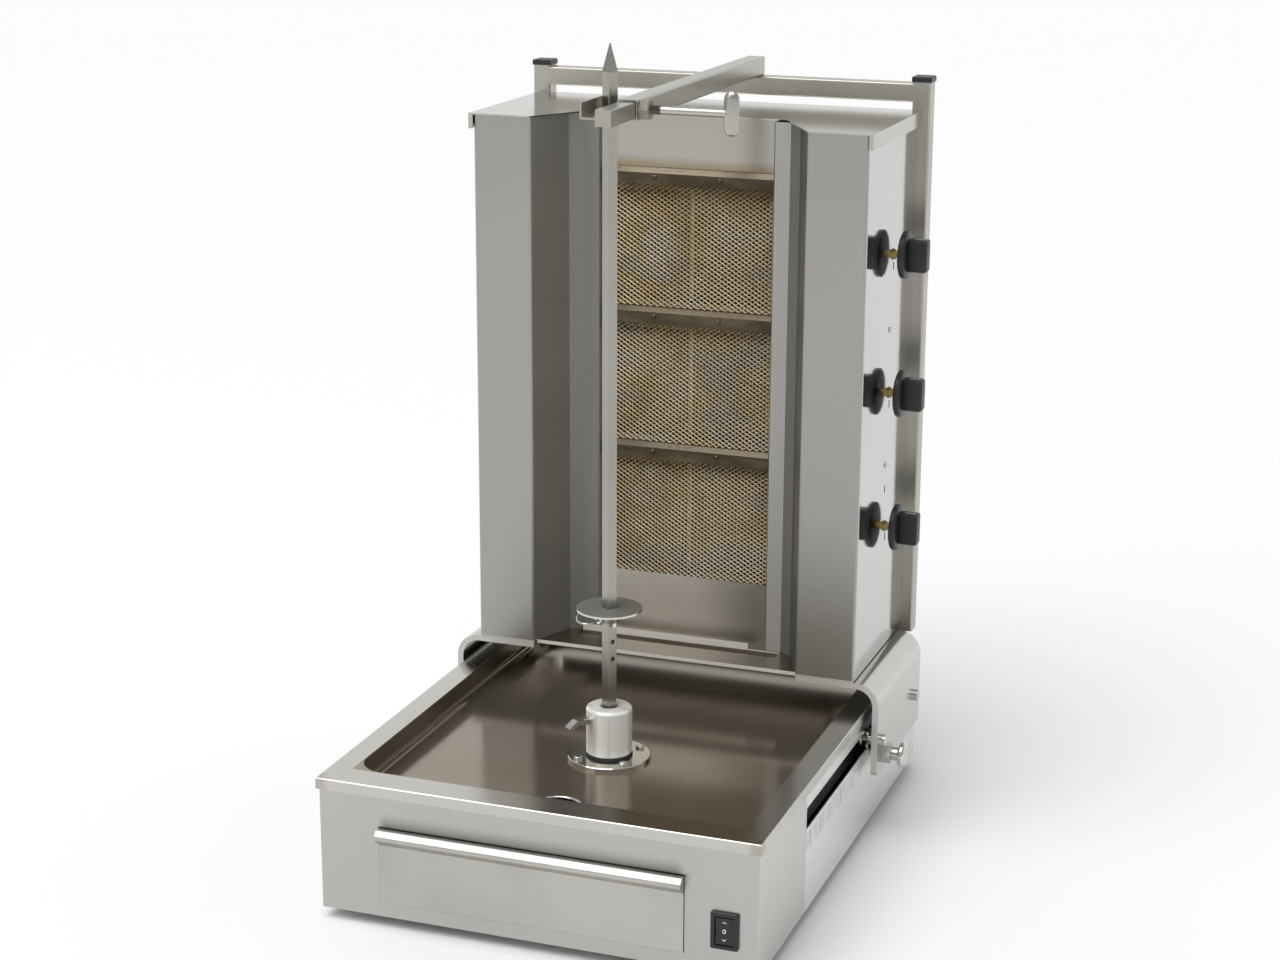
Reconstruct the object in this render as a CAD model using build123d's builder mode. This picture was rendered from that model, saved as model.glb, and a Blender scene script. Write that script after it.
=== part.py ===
from build123d import *
import os

os.makedirs("parts", exist_ok=True)

# Vertical gas rotisserie: base with drip pan, driven upright skewer, burner tower sliding on the base.
# Millimetres. X to the right, Y to the rear, Z up. The origin is on the floor, midway between the feet.
# Setbacks are measured from the front edge of the base rim, heights above the floor unless named otherwise.

# General sheet metal and fits
sheet = 1.5
bend_radius = 3.0
running_gap = 0.05
slide_gap = 0.3
seam_gap = 0.6
hex_sides = 6

# Base casing
base_width = 460.0
base_depth = 600.0
panel_height = 127.0
foot_height = 12.0
foot_radius = 15.0
foot_inset = 42.0
feet_per_row = 2
rim_overhang = 2.0
rim_height = 11.5
fascia_return = 154.0

# Drip pan
rim_side = 25.0
rim_front = 34.0
pan_depth = 25.0
pan_corner = 30.0
pan_fillet = 8.0
drain_x = -2.0
drain_setback = 70.5
drain_radius = 24.0
drain_collar = 7.0

# Spit drive
spit_setback = 210.0
spit_turn = 58.0
shaft_radius = 8.0
bearing_radius = 12.0
flange_radius = 43.0
flange_thickness = 4.0
flange_screw_circle = 35.0
flange_screw_count = 4
flange_screw_angle = 45.0
flange_screw_radius = 2.5
flange_screw_head = 4.5
flange_screw_head_height = 3.0
flange_screw_length = 14.0
seal_radius = 24.4
seal_height = 2.5
seal_lip_gap = 0.5
hub_radius = 23.8
hub_height = 49.5
hub_round = 3.5
hub_shaft_depth = 10.0
socket_depth = 34.0
socket_mouth_radius = 9.5
socket_mouth_depth = 5.0
gearbox_width = 84.0
gearbox_depth = 96.0
gearbox_height = 52.0
motor_radius = 31.0
motor_length = 92.0
motor_tail_length = 8.0
motor_tail_radius = 10.0

# Skewer, its disc, pin and clamp screw
skewer_side = 11.0
skewer_over = 59.0
skewer_point = 27.0
skewer_tip = 0.8
skewer_edge = 0.5
pin_height = 123.0
pin_hole_pitch = 18.4
pin_hole_count = 3
pin_radius = 2.5
pin_eye_reach = 17.5
pin_end_reach = 8.5
pin_eye_radius = 5.2
pin_eye_width = 3.0
ring_radius = 12.5
ring_wire = 1.3
ring_hole_radius = 2.5
ring_swing = 17.0
ring_tilt = 20.0
disc_radius = 33.5
disc_thickness = 2.0
collar_radius = 11.5
collar_height = 12.5
collar_flare = 3.0
collar_pin_gap = 0.3
thumb_drop = 10.5
thumb_radius = 4.0
thumb_stub = 8.0
thumb_reach = 18.5
thumb_bend = 8.0
thumb_hook = 2.5
thumb_curl = 7.0
thumb_width = 9.0
thumb_thickness = 5.0

# Drip drawer
drawer_x = -4.5
drawer_width = 319.0
drawer_height = 81.0
drawer_sill = 15.0
drawer_gap = 1.2
drawer_proud = 1.0
lip_depth = 11.0
lip_height = 18.0
lip_round = 5.0
tray_depth = 136.0
tray_side_gap = 4.0
tray_height = 66.0
tray_lift = 17.0
tray_wall = 1.2
runner_width = 16.0
runner_guide = 8.0

# Rocker switch
switch_margin = 35.0
switch_z = 57.5
bezel_width = 28.0
bezel_height = 38.0
bezel_proud = 3.5
bezel_round = 2.5
switch_body_width = 23.0
switch_body_height = 32.5
switch_body_depth = 24.0
switch_pocket_depth = 13.0
rocker_width = 18.0
rocker_height = 27.2
rocker_side_gap = 0.6
rocker_end_gap = 1.3
rocker_pivot_depth = 3.0
rocker_front = 6.0
rocker_dish = 1.4
rocker_back = 4.0

# Cord inlet at the rear of the base
gland_inset = 78.0
gland_z = 48.0
gland_radius = 8.0
gland_hex = 12.0
gland_hex_length = 8.0
gland_dome_radius = 10.0
gland_dome_length = 12.0
gland_bore = 4.0
gland_inside = 14.0

# Brackets that carry the tower, their guides and locks
tower_setback = 373.0
bracket_thickness = 6.5
bracket_bend = 26.0
bracket_standoff = 14.5
bracket_drop = 103.0
bracket_depth = 185.0
bracket_foot_round = 6.0
slot_bottom = 89.0
slot_height = 22.6
slot_front_margin = 3.0
slot_rear_margin = 40.0
guide_bolt_recesses = (15.0, 159.0)
guide_bolt_radius = 4.0
guide_head = 6.5
guide_head_height = 5.5
guide_flange_radius = 14.0
guide_flange_thickness = 3.0
roller_side_gap = 3.0
lock_recess = 31.0
lock_height = 80.0
lock_radius = 6.0
lock_nut = 10.0
lock_nut_height = 9.0
lock_tip_gap = 0.5
lock_barrel_radius = 7.5
lock_barrel_length = 7.0
lock_head_radius = 13.5
lock_head_height = 8.0
lock_head_round = 3.5

# Tower casing
tower_bottom = 166.0
tower_headroom = 57.7
tower_inset = 15.0
tower_depth = 199.0
wing_run = 22.7
wing_step = 13.3
wing_end_recess = 53.0
column_width = 18.2
column_gap = 1.5
column_recess = 61.5
column_return = 16.0
cover_overhang = 5.0
cover_flange = 16.0
cover_front_overhang = 2.0
cover_notch_margin = 9.5
cover_notch_recess = 72.0
floor_lip_recess = 6.0
floor_lip_drop = 2.5
floor_edge = 1.2
air_slot_recess = 40.7
air_slot_depth = 17.3
rail_height = 6.5
rail_end_margin = 16.0

# Burners
burner_pitch = 150.5
burner_count = 3
burner_first = 237.5
burner_seam = 0.5
burner_half_width = 95.0
burner_recess = 76.0
burner_depth = 58.0
burner_lip_height = 17.0
burner_lip_depth = 8.0
burner_lip_slope = 5.0
burner_edge_band = 6.0
screen_thickness = 1.2
screen_wire = 2.4
screen_columns = 10
screen_rows = 10
tile_recess = 13.0
tile_thickness = 13.0
tile_joint = 2.0

# Gas train
tap_recess = 110.0
tap_lifts = (71.1, 69.1, 68.1)
valve_length = 40.0
valve_width = 26.0
valve_height = 34.0
valve_panel_gap = 5.0
spindle_radius = 4.0
spindle_depth = 32.0
spindle_push = 5.0
spindle_hole_radius = 6.5
injector_radius = 5.0
manifold_radius = 8.0
manifold_offset = 20.0
manifold_top_margin = 40.0
inlet_radius = 10.5
inlet_length = 18.0
inlet_height = 40.0
inlet_nut = 13.5
inlet_nut_depth = 6.0
inlet_relief_radius = 9.0
inlet_relief_length = 2.0

# Gas knobs
knob_standoff = 10.0
skirt_radius = 25.0
skirt_thickness = 7.0
grip_length = 34.0
grip_width = 17.0
grip_height = 21.0
grip_round = 3.0

# Rear frame, arm and fork that hold the top of the skewer
tube_side = 20.0
tube_wall = 1.5
tube_round = 2.0
post_offset = 3.0
post_rise = 29.3
post_foot = 160.0
crossbar_rise = 27.8
cap_height = 6.0
cap_overhang = 0.8
cap_plug = 9.0
arm_x = 28.0
arm_front_setback = 182.0
arm_rear_setback = 588.0
shank_side = 16.0
shank_front_setback = 117.0
shank_length = 210.0
tower_travel = 120.0
trough_front_setback = 160.0
trough_rear_setback = 226.0
trough_left = -12.0
trough_sheet = 2.0
trough_hole = 9.6
clamp_setback = 194.0
clamp_radius = 4.5
clamp_nut = 9.0
clamp_nut_height = 9.0
clamp_rod_radius = 4.0
clamp_thread_length = 22.0
clamp_rod_length = 62.0
clamp_bar_height = 43.0
clamp_bar_width = 15.0
clamp_bar_thickness = 8.0
clamp_tip_gap = 0.3

# Places that follow from the sizes above
front = -base_depth / 2
rear = base_depth / 2
panel_front = front + rim_overhang
panel_rear = rear - rim_overhang
half_panel = base_width / 2 - rim_overhang
panel_top = foot_height + panel_height
rim_top = panel_top + rim_height
pan_floor = rim_top - pan_depth
pan_width = base_width - 2 * rim_side
pan_length = base_depth - 2 * rim_front
seam_y = front + fascia_return
spit_y = front + spit_setback
flange_top = pan_floor + flange_thickness
hub_bottom = flange_top + seal_height + seal_lip_gap
hub_top = hub_bottom + hub_height
skewer_bottom = hub_top - socket_depth
pin_z = skewer_bottom + pin_height
collar_bottom = pin_z + pin_radius + collar_pin_gap
disc_z = collar_bottom + collar_height
thumb_z = hub_top - thumb_drop
drawer_z = foot_height + drawer_sill + drawer_height / 2
switch_x = base_width / 2 - switch_margin
gland_x = gland_inset - half_panel
tray_bottom = foot_height + tray_lift
tower_base = foot_height + tower_bottom
burner_low = foot_height + burner_first
burner_top = burner_low + burner_count * burner_pitch
tower_top = burner_top + tower_headroom
half_tower = base_width / 2 - tower_inset
column_inner = burner_half_width + column_gap
column_outer = column_inner + column_width
wing_end_x = column_outer + wing_step
cheek_inner = wing_end_x + wing_run
cover_notch_x = column_inner + cover_notch_margin
tower_front = front + tower_setback
tower_rear = tower_front + tower_depth
shell_bottom = tower_base + sheet
shell_top = tower_top - sheet
slot_z = foot_height + slot_bottom + slot_height / 2
bracket_outer_x = half_panel + bracket_standoff
bracket_inner_x = bracket_outer_x - bracket_thickness
lock_z = foot_height + lock_height
lock_y = tower_front + lock_recess
roller_radius = slot_height / 2 - slide_gap
tap_y = tower_front + tap_recess
tap_levels = [burner_low + index * burner_pitch + lift for index, lift in enumerate(tap_lifts)]
burner_y = tower_front + burner_recess
burner_height = burner_pitch - burner_seam
post_top = tower_top + post_rise
crossbar_z = tower_top + crossbar_rise - tube_side
arm_z = tower_top + crossbar_rise + tube_side / 2
skewer_length = arm_z + skewer_over - skewer_bottom
arm_front = front + arm_front_setback
clamp_y = front + clamp_setback
bore_side = tube_side - 2 * tube_wall
knob_x = half_tower + knob_standoff
sides = ((-1, "left"), (1, "right"))
spit_frame = Plane((0, spit_y, 0)).rotated((0, 0, spit_turn))
spit_upright = Plane(spit_frame.origin, x_dir=spit_frame.x_dir, z_dir=-spit_frame.y_dir)

LOW = (Align.CENTER, Align.CENTER, Align.MIN)


def face_plane(y):
    """Upright plane at depth y: sketch x is X, sketch y is Z, and extrusions run to the front."""
    return Plane.XZ.offset(-y)


def bar_x(x, y, z, radius, length, mode=Mode.ADD):
    """Round bar or bore along +X that starts at x."""
    with Locations((x, y, z)):
        Cylinder(radius, length, rotation=(0, 90, 0), align=LOW, mode=mode)


def bar_y(x, y, z, radius, length, mode=Mode.ADD):
    """Round bar or bore along +Y that starts at y."""
    with Locations((x, y, z)):
        Cylinder(radius, length, rotation=(-90, 0, 0), align=LOW, mode=mode)


def bar_z(x, y, z, radius, length, mode=Mode.ADD):
    """Round bar or bore along +Z that starts at z."""
    with Locations((x, y, z)):
        Cylinder(radius, length, align=LOW, mode=mode)


def block(x_span, y_span, z_span, mode=Mode.ADD):
    """Box between the two ends of each span."""
    with Locations((min(x_span), min(y_span), min(z_span))):
        Box(
            abs(x_span[1] - x_span[0]),
            abs(y_span[1] - y_span[0]),
            abs(z_span[1] - z_span[0]),
            align=(Align.MIN, Align.MIN, Align.MIN),
            mode=mode,
        )


def keep(builder, name):
    """Label a finished piece and write it."""
    builder.part.label = name
    export_step(builder.part, f"parts/{name}.step")


# Base front panel, wrapped round both front corners
with BuildPart() as base_front_panel:
    with BuildSketch(Plane.XY.offset(foot_height)):
        with BuildLine():
            FilletPolyline(
                (-half_panel, seam_y),
                (-half_panel, panel_front),
                (half_panel, panel_front),
                (half_panel, seam_y),
                radius=bend_radius,
            )
            offset(amount=sheet, side=Side.LEFT)
        make_face()
    extrude(amount=rim_top - sheet - foot_height)
    with BuildSketch(face_plane(panel_front + sheet)):
        with Locations((drawer_x, drawer_z)):
            Rectangle(drawer_width, drawer_height)
        with Locations((switch_x, switch_z)):
            Rectangle(switch_body_width + slide_gap, switch_body_height + slide_gap)
    extrude(amount=sheet, mode=Mode.SUBTRACT)
keep(base_front_panel, "base_front_panel")

# Base side panels with the guide slots of the tower
slot_front_y = seam_y + slot_front_margin
slot_rear_y = panel_rear - slot_rear_margin
for side, word in sides:
    with BuildPart() as side_panel:
        block(
            (side * (half_panel - sheet), side * half_panel),
            (seam_y + seam_gap, panel_rear),
            (foot_height, rim_top - sheet),
        )
        block(
            (side * (half_panel - sheet), side * half_panel),
            (slot_front_y, slot_rear_y),
            (slot_z - slot_height / 2, slot_z + slot_height / 2),
            mode=Mode.SUBTRACT,
        )
    keep(side_panel, f"base_side_panel_{word}")

# Base rear panel with the hole of the cord inlet
half_inside = half_panel - sheet
with BuildPart() as base_rear_panel:
    block((-half_inside, half_inside), (panel_rear - sheet, panel_rear), (foot_height, rim_top - sheet))
    bar_y(gland_x, panel_rear - sheet, gland_z, gland_radius, sheet, mode=Mode.SUBTRACT)
keep(base_rear_panel, "base_rear_panel")

# Base bottom plate
with BuildPart() as base_bottom_plate:
    block(
        (-half_inside, half_inside),
        (panel_front + sheet, panel_rear - sheet),
        (foot_height, foot_height + sheet),
    )
    chamfer(base_bottom_plate.edges().filter_by(Axis.Z).group_by(Axis.Y)[0], bend_radius)
keep(base_bottom_plate, "base_bottom_plate")

# Rubber feet
foot_spacing_x = base_width - 2 * foot_inset
foot_spacing_y = base_depth - 2 * foot_inset
with BuildPart() as feet:
    with GridLocations(foot_spacing_x, foot_spacing_y, feet_per_row, feet_per_row):
        Cylinder(foot_radius, foot_height, align=LOW)
    chamfer(feet.faces().filter_by(Axis.Z).group_by(Axis.Z)[0].edges(), sheet)
keep(feet, "feet")

# Drip pan: rim with a skirt over the panels, tub with rounded corners, drain and bearing hole
drain_y = front + drain_setback
with BuildPart() as pan_hollow:
    with BuildSketch(Plane.XY.offset(pan_floor)):
        RectangleRounded(pan_width, pan_length, pan_corner)
    extrude(amount=pan_depth)
    fillet(pan_hollow.faces().sort_by(Axis.Z)[0].edges(), pan_fillet)
with BuildPart() as drip_pan:
    with BuildSketch(Plane.XY.offset(panel_top)):
        Rectangle(base_width, base_depth)
        Rectangle(base_width - 2 * sheet, base_depth - 2 * sheet, mode=Mode.SUBTRACT)
    extrude(amount=rim_height)
    with BuildSketch(Plane.XY.offset(rim_top - sheet)):
        Rectangle(base_width, base_depth)
    extrude(amount=sheet)
    with BuildSketch(Plane.XY.offset(pan_floor - sheet)):
        RectangleRounded(pan_width + 2 * sheet, pan_length + 2 * sheet, pan_corner + sheet)
    extrude(amount=pan_depth + sheet)
    fillet(drip_pan.faces().sort_by(Axis.Z)[0].edges(), pan_fillet + sheet)
    add(pan_hollow.part, mode=Mode.SUBTRACT)
    bar_z(drain_x, drain_y, pan_floor - drain_collar, drain_radius + sheet, drain_collar)
    bar_z(drain_x, drain_y, pan_floor - drain_collar, drain_radius, drain_collar, mode=Mode.SUBTRACT)
    bar_z(0, spit_y, pan_floor - sheet, bearing_radius, sheet, mode=Mode.SUBTRACT)
    with Locations((0, spit_y, pan_floor - sheet)):
        with PolarLocations(flange_screw_circle, flange_screw_count, start_angle=flange_screw_angle):
            Cylinder(flange_screw_radius, sheet, align=LOW, mode=Mode.SUBTRACT)
    chamfer(drip_pan.faces().sort_by(Axis.Z)[-1].outer_wire().edges(), sheet / 2)
keep(drip_pan, "drip_pan")

# Bearing plate of the spit on the pan floor
with BuildPart() as spit_flange:
    bar_z(0, spit_y, pan_floor, flange_radius, flange_thickness)
    chamfer(spit_flange.faces().sort_by(Axis.Z)[-1].edges(), sheet / 2)
    bar_z(0, spit_y, pan_floor, bearing_radius, flange_thickness, mode=Mode.SUBTRACT)
    with Locations((0, spit_y, pan_floor)):
        with PolarLocations(flange_screw_circle, flange_screw_count, start_angle=flange_screw_angle):
            Cylinder(flange_screw_radius, flange_thickness, align=LOW, mode=Mode.SUBTRACT)
keep(spit_flange, "spit_flange")

# Pan-head screws of the bearing plate
with BuildPart() as flange_screws:
    with Locations((0, spit_y, flange_top - flange_screw_length)):
        with PolarLocations(flange_screw_circle, flange_screw_count, start_angle=flange_screw_angle):
            Cylinder(flange_screw_radius, flange_screw_length, align=LOW)
    with Locations((0, spit_y, flange_top)):
        with PolarLocations(flange_screw_circle, flange_screw_count, start_angle=flange_screw_angle):
            Cylinder(flange_screw_head, flange_screw_head_height, align=LOW)
    head_tops = flange_screws.faces().filter_by(Axis.Z).group_by(Axis.Z)[-1]
    fillet(head_tops.edges(), flange_screw_head_height / 2)
keep(flange_screws, "flange_screws")

# Bush that carries the drive shaft, from the gearbox up to the top of the plate
gearbox_top = pan_floor - sheet
shaft_bore = shaft_radius + running_gap
with BuildPart() as shaft_bearing:
    bar_z(0, spit_y, gearbox_top, bearing_radius, flange_top - gearbox_top)
    bar_z(0, spit_y, gearbox_top, shaft_bore, flange_top - gearbox_top, mode=Mode.SUBTRACT)
keep(shaft_bearing, "shaft_bearing")

# Black lip seal between plate and hub
with BuildPart() as shaft_seal:
    bar_z(0, spit_y, flange_top, seal_radius, seal_height)
    fillet(shaft_seal.faces().sort_by(Axis.Z)[-1].edges(), sheet)
    bar_z(0, spit_y, flange_top, shaft_radius + slide_gap, seal_height, mode=Mode.SUBTRACT)
keep(shaft_seal, "shaft_seal")

# Gearbox under the pan floor
gearbox_bottom = gearbox_top - gearbox_height
screw_tip_depth = flange_screw_length - flange_thickness - sheet
with BuildPart() as gearbox:
    block(
        (-gearbox_width / 2, gearbox_width / 2),
        (spit_y - gearbox_width / 2, spit_y - gearbox_width / 2 + gearbox_depth),
        (gearbox_bottom, gearbox_top),
    )
    fillet(gearbox.edges().filter_by(Axis.Z), bend_radius)
    bar_z(0, spit_y, gearbox_bottom, shaft_bore, gearbox_height, mode=Mode.SUBTRACT)
    with Locations((0, spit_y, gearbox_top - screw_tip_depth)):
        with PolarLocations(flange_screw_circle, flange_screw_count, start_angle=flange_screw_angle):
            Cylinder(flange_screw_radius, screw_tip_depth, align=LOW, mode=Mode.SUBTRACT)
keep(gearbox, "gearbox")

# Motor behind the gearbox, with its tail bearing
motor_y = spit_y - gearbox_width / 2 + gearbox_depth
motor_z = gearbox_top - motor_radius - slide_gap
with BuildPart() as motor:
    bar_y(0, motor_y, motor_z, motor_radius, motor_length)
    fillet(motor.faces().sort_by(Axis.Y)[-1].edges(), bend_radius)
    bar_y(0, motor_y + motor_length, motor_z, motor_tail_radius, motor_tail_length)
keep(motor, "motor")

# Drive shaft from the gearbox into the hub
with BuildPart() as drive_shaft:
    bar_z(0, spit_y, gearbox_bottom, shaft_radius, hub_bottom + hub_shaft_depth - gearbox_bottom)
keep(drive_shaft, "drive_shaft")

# Hub with the square socket of the skewer and the thread of its clamp screw
socket_side = skewer_side + 2 * slide_gap
with BuildPart(spit_frame) as hub:
    bar_z(0, 0, hub_bottom, hub_radius, hub_height)
    fillet(hub.faces().sort_by(Axis.Z)[-1].edges(), hub_round)
    chamfer(hub.faces().sort_by(Axis.Z)[0].edges(), sheet / 2)
    block(
        (-socket_side / 2, socket_side / 2),
        (-socket_side / 2, socket_side / 2),
        (skewer_bottom, hub_top),
        mode=Mode.SUBTRACT,
    )
    mouth_bottom = hub_top - socket_mouth_depth
    bar_z(0, 0, mouth_bottom, socket_mouth_radius, socket_mouth_depth, mode=Mode.SUBTRACT)
    bar_z(0, 0, hub_bottom, shaft_radius, hub_shaft_depth, mode=Mode.SUBTRACT)
    bar_x(-hub_radius, 0, thumb_z, thumb_radius + running_gap, hub_radius, mode=Mode.SUBTRACT)
keep(hub, "hub")

# Hooked clamp screw of the hub
thumb_start = -hub_radius - thumb_stub
thumb_half = thumb_thickness / 2
with BuildPart(spit_frame) as thumb_screw:
    with BuildSketch(spit_upright.offset(-thumb_width / 2)):
        with BuildLine():
            FilletPolyline(
                (thumb_start + thumb_stub / 2, thumb_z),
                (thumb_start - thumb_reach + thumb_bend, thumb_z + thumb_half),
                (thumb_start - thumb_reach, thumb_z - thumb_hook),
                radius=thumb_curl,
            )
            offset(amount=thumb_half, side=Side.BOTH)
        make_face()
    extrude(amount=thumb_width)
    bar_x(thumb_start, 0, thumb_z, thumb_radius, -thumb_start - skewer_side / 2 - slide_gap)
keep(thumb_screw, "thumb_screw")

# Skewer: square bar with a four-sided point and cross holes for the pin
with BuildPart(spit_frame) as skewer:
    with BuildSketch(spit_frame.offset(skewer_bottom)):
        Rectangle(skewer_side, skewer_side)
    extrude(amount=skewer_length - skewer_point)
    chamfer(skewer.edges().filter_by(Axis.Z), skewer_edge)
    with BuildSketch(spit_frame.offset(skewer_bottom + skewer_length - skewer_point)):
        Rectangle(skewer_side, skewer_side)
    with BuildSketch(spit_frame.offset(skewer_bottom + skewer_length)):
        Rectangle(skewer_tip, skewer_tip)
    loft()
    for index in range(pin_hole_count):
        hole_z = pin_z - index * pin_hole_pitch
        bar_y(0, -skewer_side / 2, hole_z, pin_radius + running_gap, skewer_side, mode=Mode.SUBTRACT)
keep(skewer, "skewer")

# Disc that carries the meat, with a flared collar
disc_hole = skewer_side + 2 * slide_gap
with BuildPart(spit_frame) as meat_disc:
    with BuildSketch(spit_upright):
        with BuildLine():
            Polyline(
                (0, collar_bottom),
                (collar_radius - collar_flare / 2, collar_bottom),
                (collar_radius, disc_z - collar_flare),
                (collar_radius + collar_flare, disc_z),
                (disc_radius, disc_z),
                (disc_radius, disc_z + disc_thickness),
                (0, disc_z + disc_thickness),
                close=True,
            )
        make_face()
    revolve(axis=Axis((0, spit_y, 0), (0, 0, 1)))
    block(
        (-disc_hole / 2, disc_hole / 2),
        (-disc_hole / 2, disc_hole / 2),
        (collar_bottom, disc_z + disc_thickness),
        mode=Mode.SUBTRACT,
    )
keep(meat_disc, "meat_disc")

# Locking pin under the collar, with an eye for its ring
with BuildPart(spit_frame) as lock_pin:
    pin_length = pin_end_reach + pin_eye_reach - pin_eye_radius / 2
    bar_y(0, -pin_end_reach, pin_z, pin_radius, pin_length)
    bar_x(-pin_eye_width / 2, pin_eye_reach, pin_z, pin_eye_radius, pin_eye_width)
    bar_x(-pin_eye_width / 2, pin_eye_reach, pin_z, ring_hole_radius, pin_eye_width, mode=Mode.SUBTRACT)
keep(lock_pin, "lock_pin")

# Wire ring of the locking pin, hanging aslant from the eye
ring_seat = Location((0, pin_eye_reach, pin_z), (0, 0, ring_swing))
with BuildPart(spit_frame) as pin_ring:
    with Locations(ring_seat * Location((0, ring_radius, 0), (0, -ring_tilt, 0))):
        Torus(ring_radius, ring_wire)
keep(pin_ring, "pin_ring")

# Drip drawer front with its rolled pull lip
face_half_width = drawer_width / 2 - drawer_gap
face_bottom = drawer_z - drawer_height / 2 + drawer_gap
face_top = drawer_z + drawer_height / 2 - drawer_gap
face_y = panel_front - drawer_proud
with BuildPart() as drawer_front:
    block(
        (drawer_x - face_half_width, drawer_x + face_half_width),
        (face_y, panel_front + sheet),
        (face_bottom, face_top),
    )
    with BuildSketch(Plane.YZ.offset(drawer_x - face_half_width)):
        with BuildLine():
            Polyline(
                (face_y, face_top),
                (face_y - lip_depth + lip_round, face_top),
                (face_y - lip_depth, face_top - lip_round),
                (face_y - lip_depth, face_top - lip_height / 2),
                (face_y, face_top - lip_height),
                close=True,
            )
        make_face()
    extrude(amount=2 * face_half_width)
    nose_edges = drawer_front.edges().filter_by(Axis.X).filter_by(lambda e: e.center().Y < face_y - sheet)
    fillet(nose_edges, lip_round / 2)
keep(drawer_front, "drawer_front")

# Drip drawer tray, open at the top
tray_half = drawer_width / 2 - tray_side_gap
tray_front = panel_front + sheet
with BuildPart() as drawer_tray:
    block(
        (drawer_x - tray_half, drawer_x + tray_half),
        (tray_front, tray_front + tray_depth),
        (tray_bottom, tray_bottom + tray_height),
    )
    block(
        (drawer_x - tray_half + tray_wall, drawer_x + tray_half - tray_wall),
        (tray_front + tray_wall, tray_front + tray_depth - tray_wall),
        (tray_bottom + tray_wall, tray_bottom + tray_height),
        mode=Mode.SUBTRACT,
    )
keep(drawer_tray, "drawer_tray")

# Runners on the bottom plate, with a guide beside the tray
with BuildPart() as drawer_runners:
    for side, word in sides:
        edge_x = drawer_x + side * (tray_half + slide_gap)
        block(
            (edge_x - side * runner_width, edge_x + side * sheet),
            (tray_front + sheet, tray_front + tray_depth),
            (foot_height + sheet, tray_bottom - slide_gap),
        )
        block(
            (edge_x, edge_x + side * sheet),
            (tray_front + sheet, tray_front + tray_depth),
            (tray_bottom - slide_gap, tray_bottom + runner_guide),
        )
keep(drawer_runners, "drawer_runners")

# Switch body with its bezel
pocket_width = rocker_width + 2 * rocker_side_gap
pocket_height = rocker_height + 2 * rocker_end_gap
with BuildPart() as switch_bezel:
    with BuildSketch(face_plane(panel_front)):
        with Locations((switch_x, switch_z)):
            RectangleRounded(bezel_width, bezel_height, bezel_round)
    extrude(amount=bezel_proud)
    fillet(switch_bezel.faces().sort_by(Axis.Y)[0].edges(), sheet)
    block(
        (switch_x - switch_body_width / 2, switch_x + switch_body_width / 2),
        (panel_front, panel_front + switch_body_depth),
        (switch_z - switch_body_height / 2, switch_z + switch_body_height / 2),
    )
    block(
        (switch_x - pocket_width / 2, switch_x + pocket_width / 2),
        (panel_front - bezel_proud, panel_front + switch_pocket_depth),
        (switch_z - pocket_height / 2, switch_z + pocket_height / 2),
        mode=Mode.SUBTRACT,
    )
keep(switch_bezel, "switch_bezel")

# Rocker with a dished face, turning about an axis along X
pivot_y = panel_front + rocker_pivot_depth
with BuildPart() as switch_rocker:
    with BuildSketch(Plane.YZ.offset(switch_x - rocker_width / 2)):
        with BuildLine():
            top_corner = (pivot_y - rocker_front, switch_z + rocker_height / 2)
            low_corner = (pivot_y - rocker_front, switch_z - rocker_height / 2)
            ThreePointArc(top_corner, (pivot_y - rocker_front + rocker_dish, switch_z), low_corner)
            Polyline(
                low_corner,
                (pivot_y, switch_z - rocker_height / 2),
                (pivot_y + rocker_back, switch_z),
                (pivot_y, switch_z + rocker_height / 2),
                top_corner,
            )
        make_face()
    extrude(amount=rocker_width)
keep(switch_rocker, "switch_rocker")

# Cord inlet: threaded gland with a hexagon and a domed nut
with BuildPart() as cable_gland:
    bar_y(gland_x, panel_rear - gland_inside, gland_z, gland_radius, gland_inside)
    with BuildSketch(face_plane(panel_rear)):
        with Locations((gland_x, gland_z)):
            RegularPolygon(gland_hex, hex_sides, major_radius=False)
    extrude(amount=-gland_hex_length)
    bar_y(gland_x, panel_rear + gland_hex_length, gland_z, gland_dome_radius, gland_dome_length)
    fillet(cable_gland.faces().sort_by(Axis.Y)[-1].edges(), bend_radius)
    bar_y(
        gland_x,
        panel_rear - gland_inside,
        gland_z,
        gland_bore,
        gland_inside + gland_hex_length + gland_dome_length,
        mode=Mode.SUBTRACT,
    )
keep(cable_gland, "cable_gland")

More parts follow.
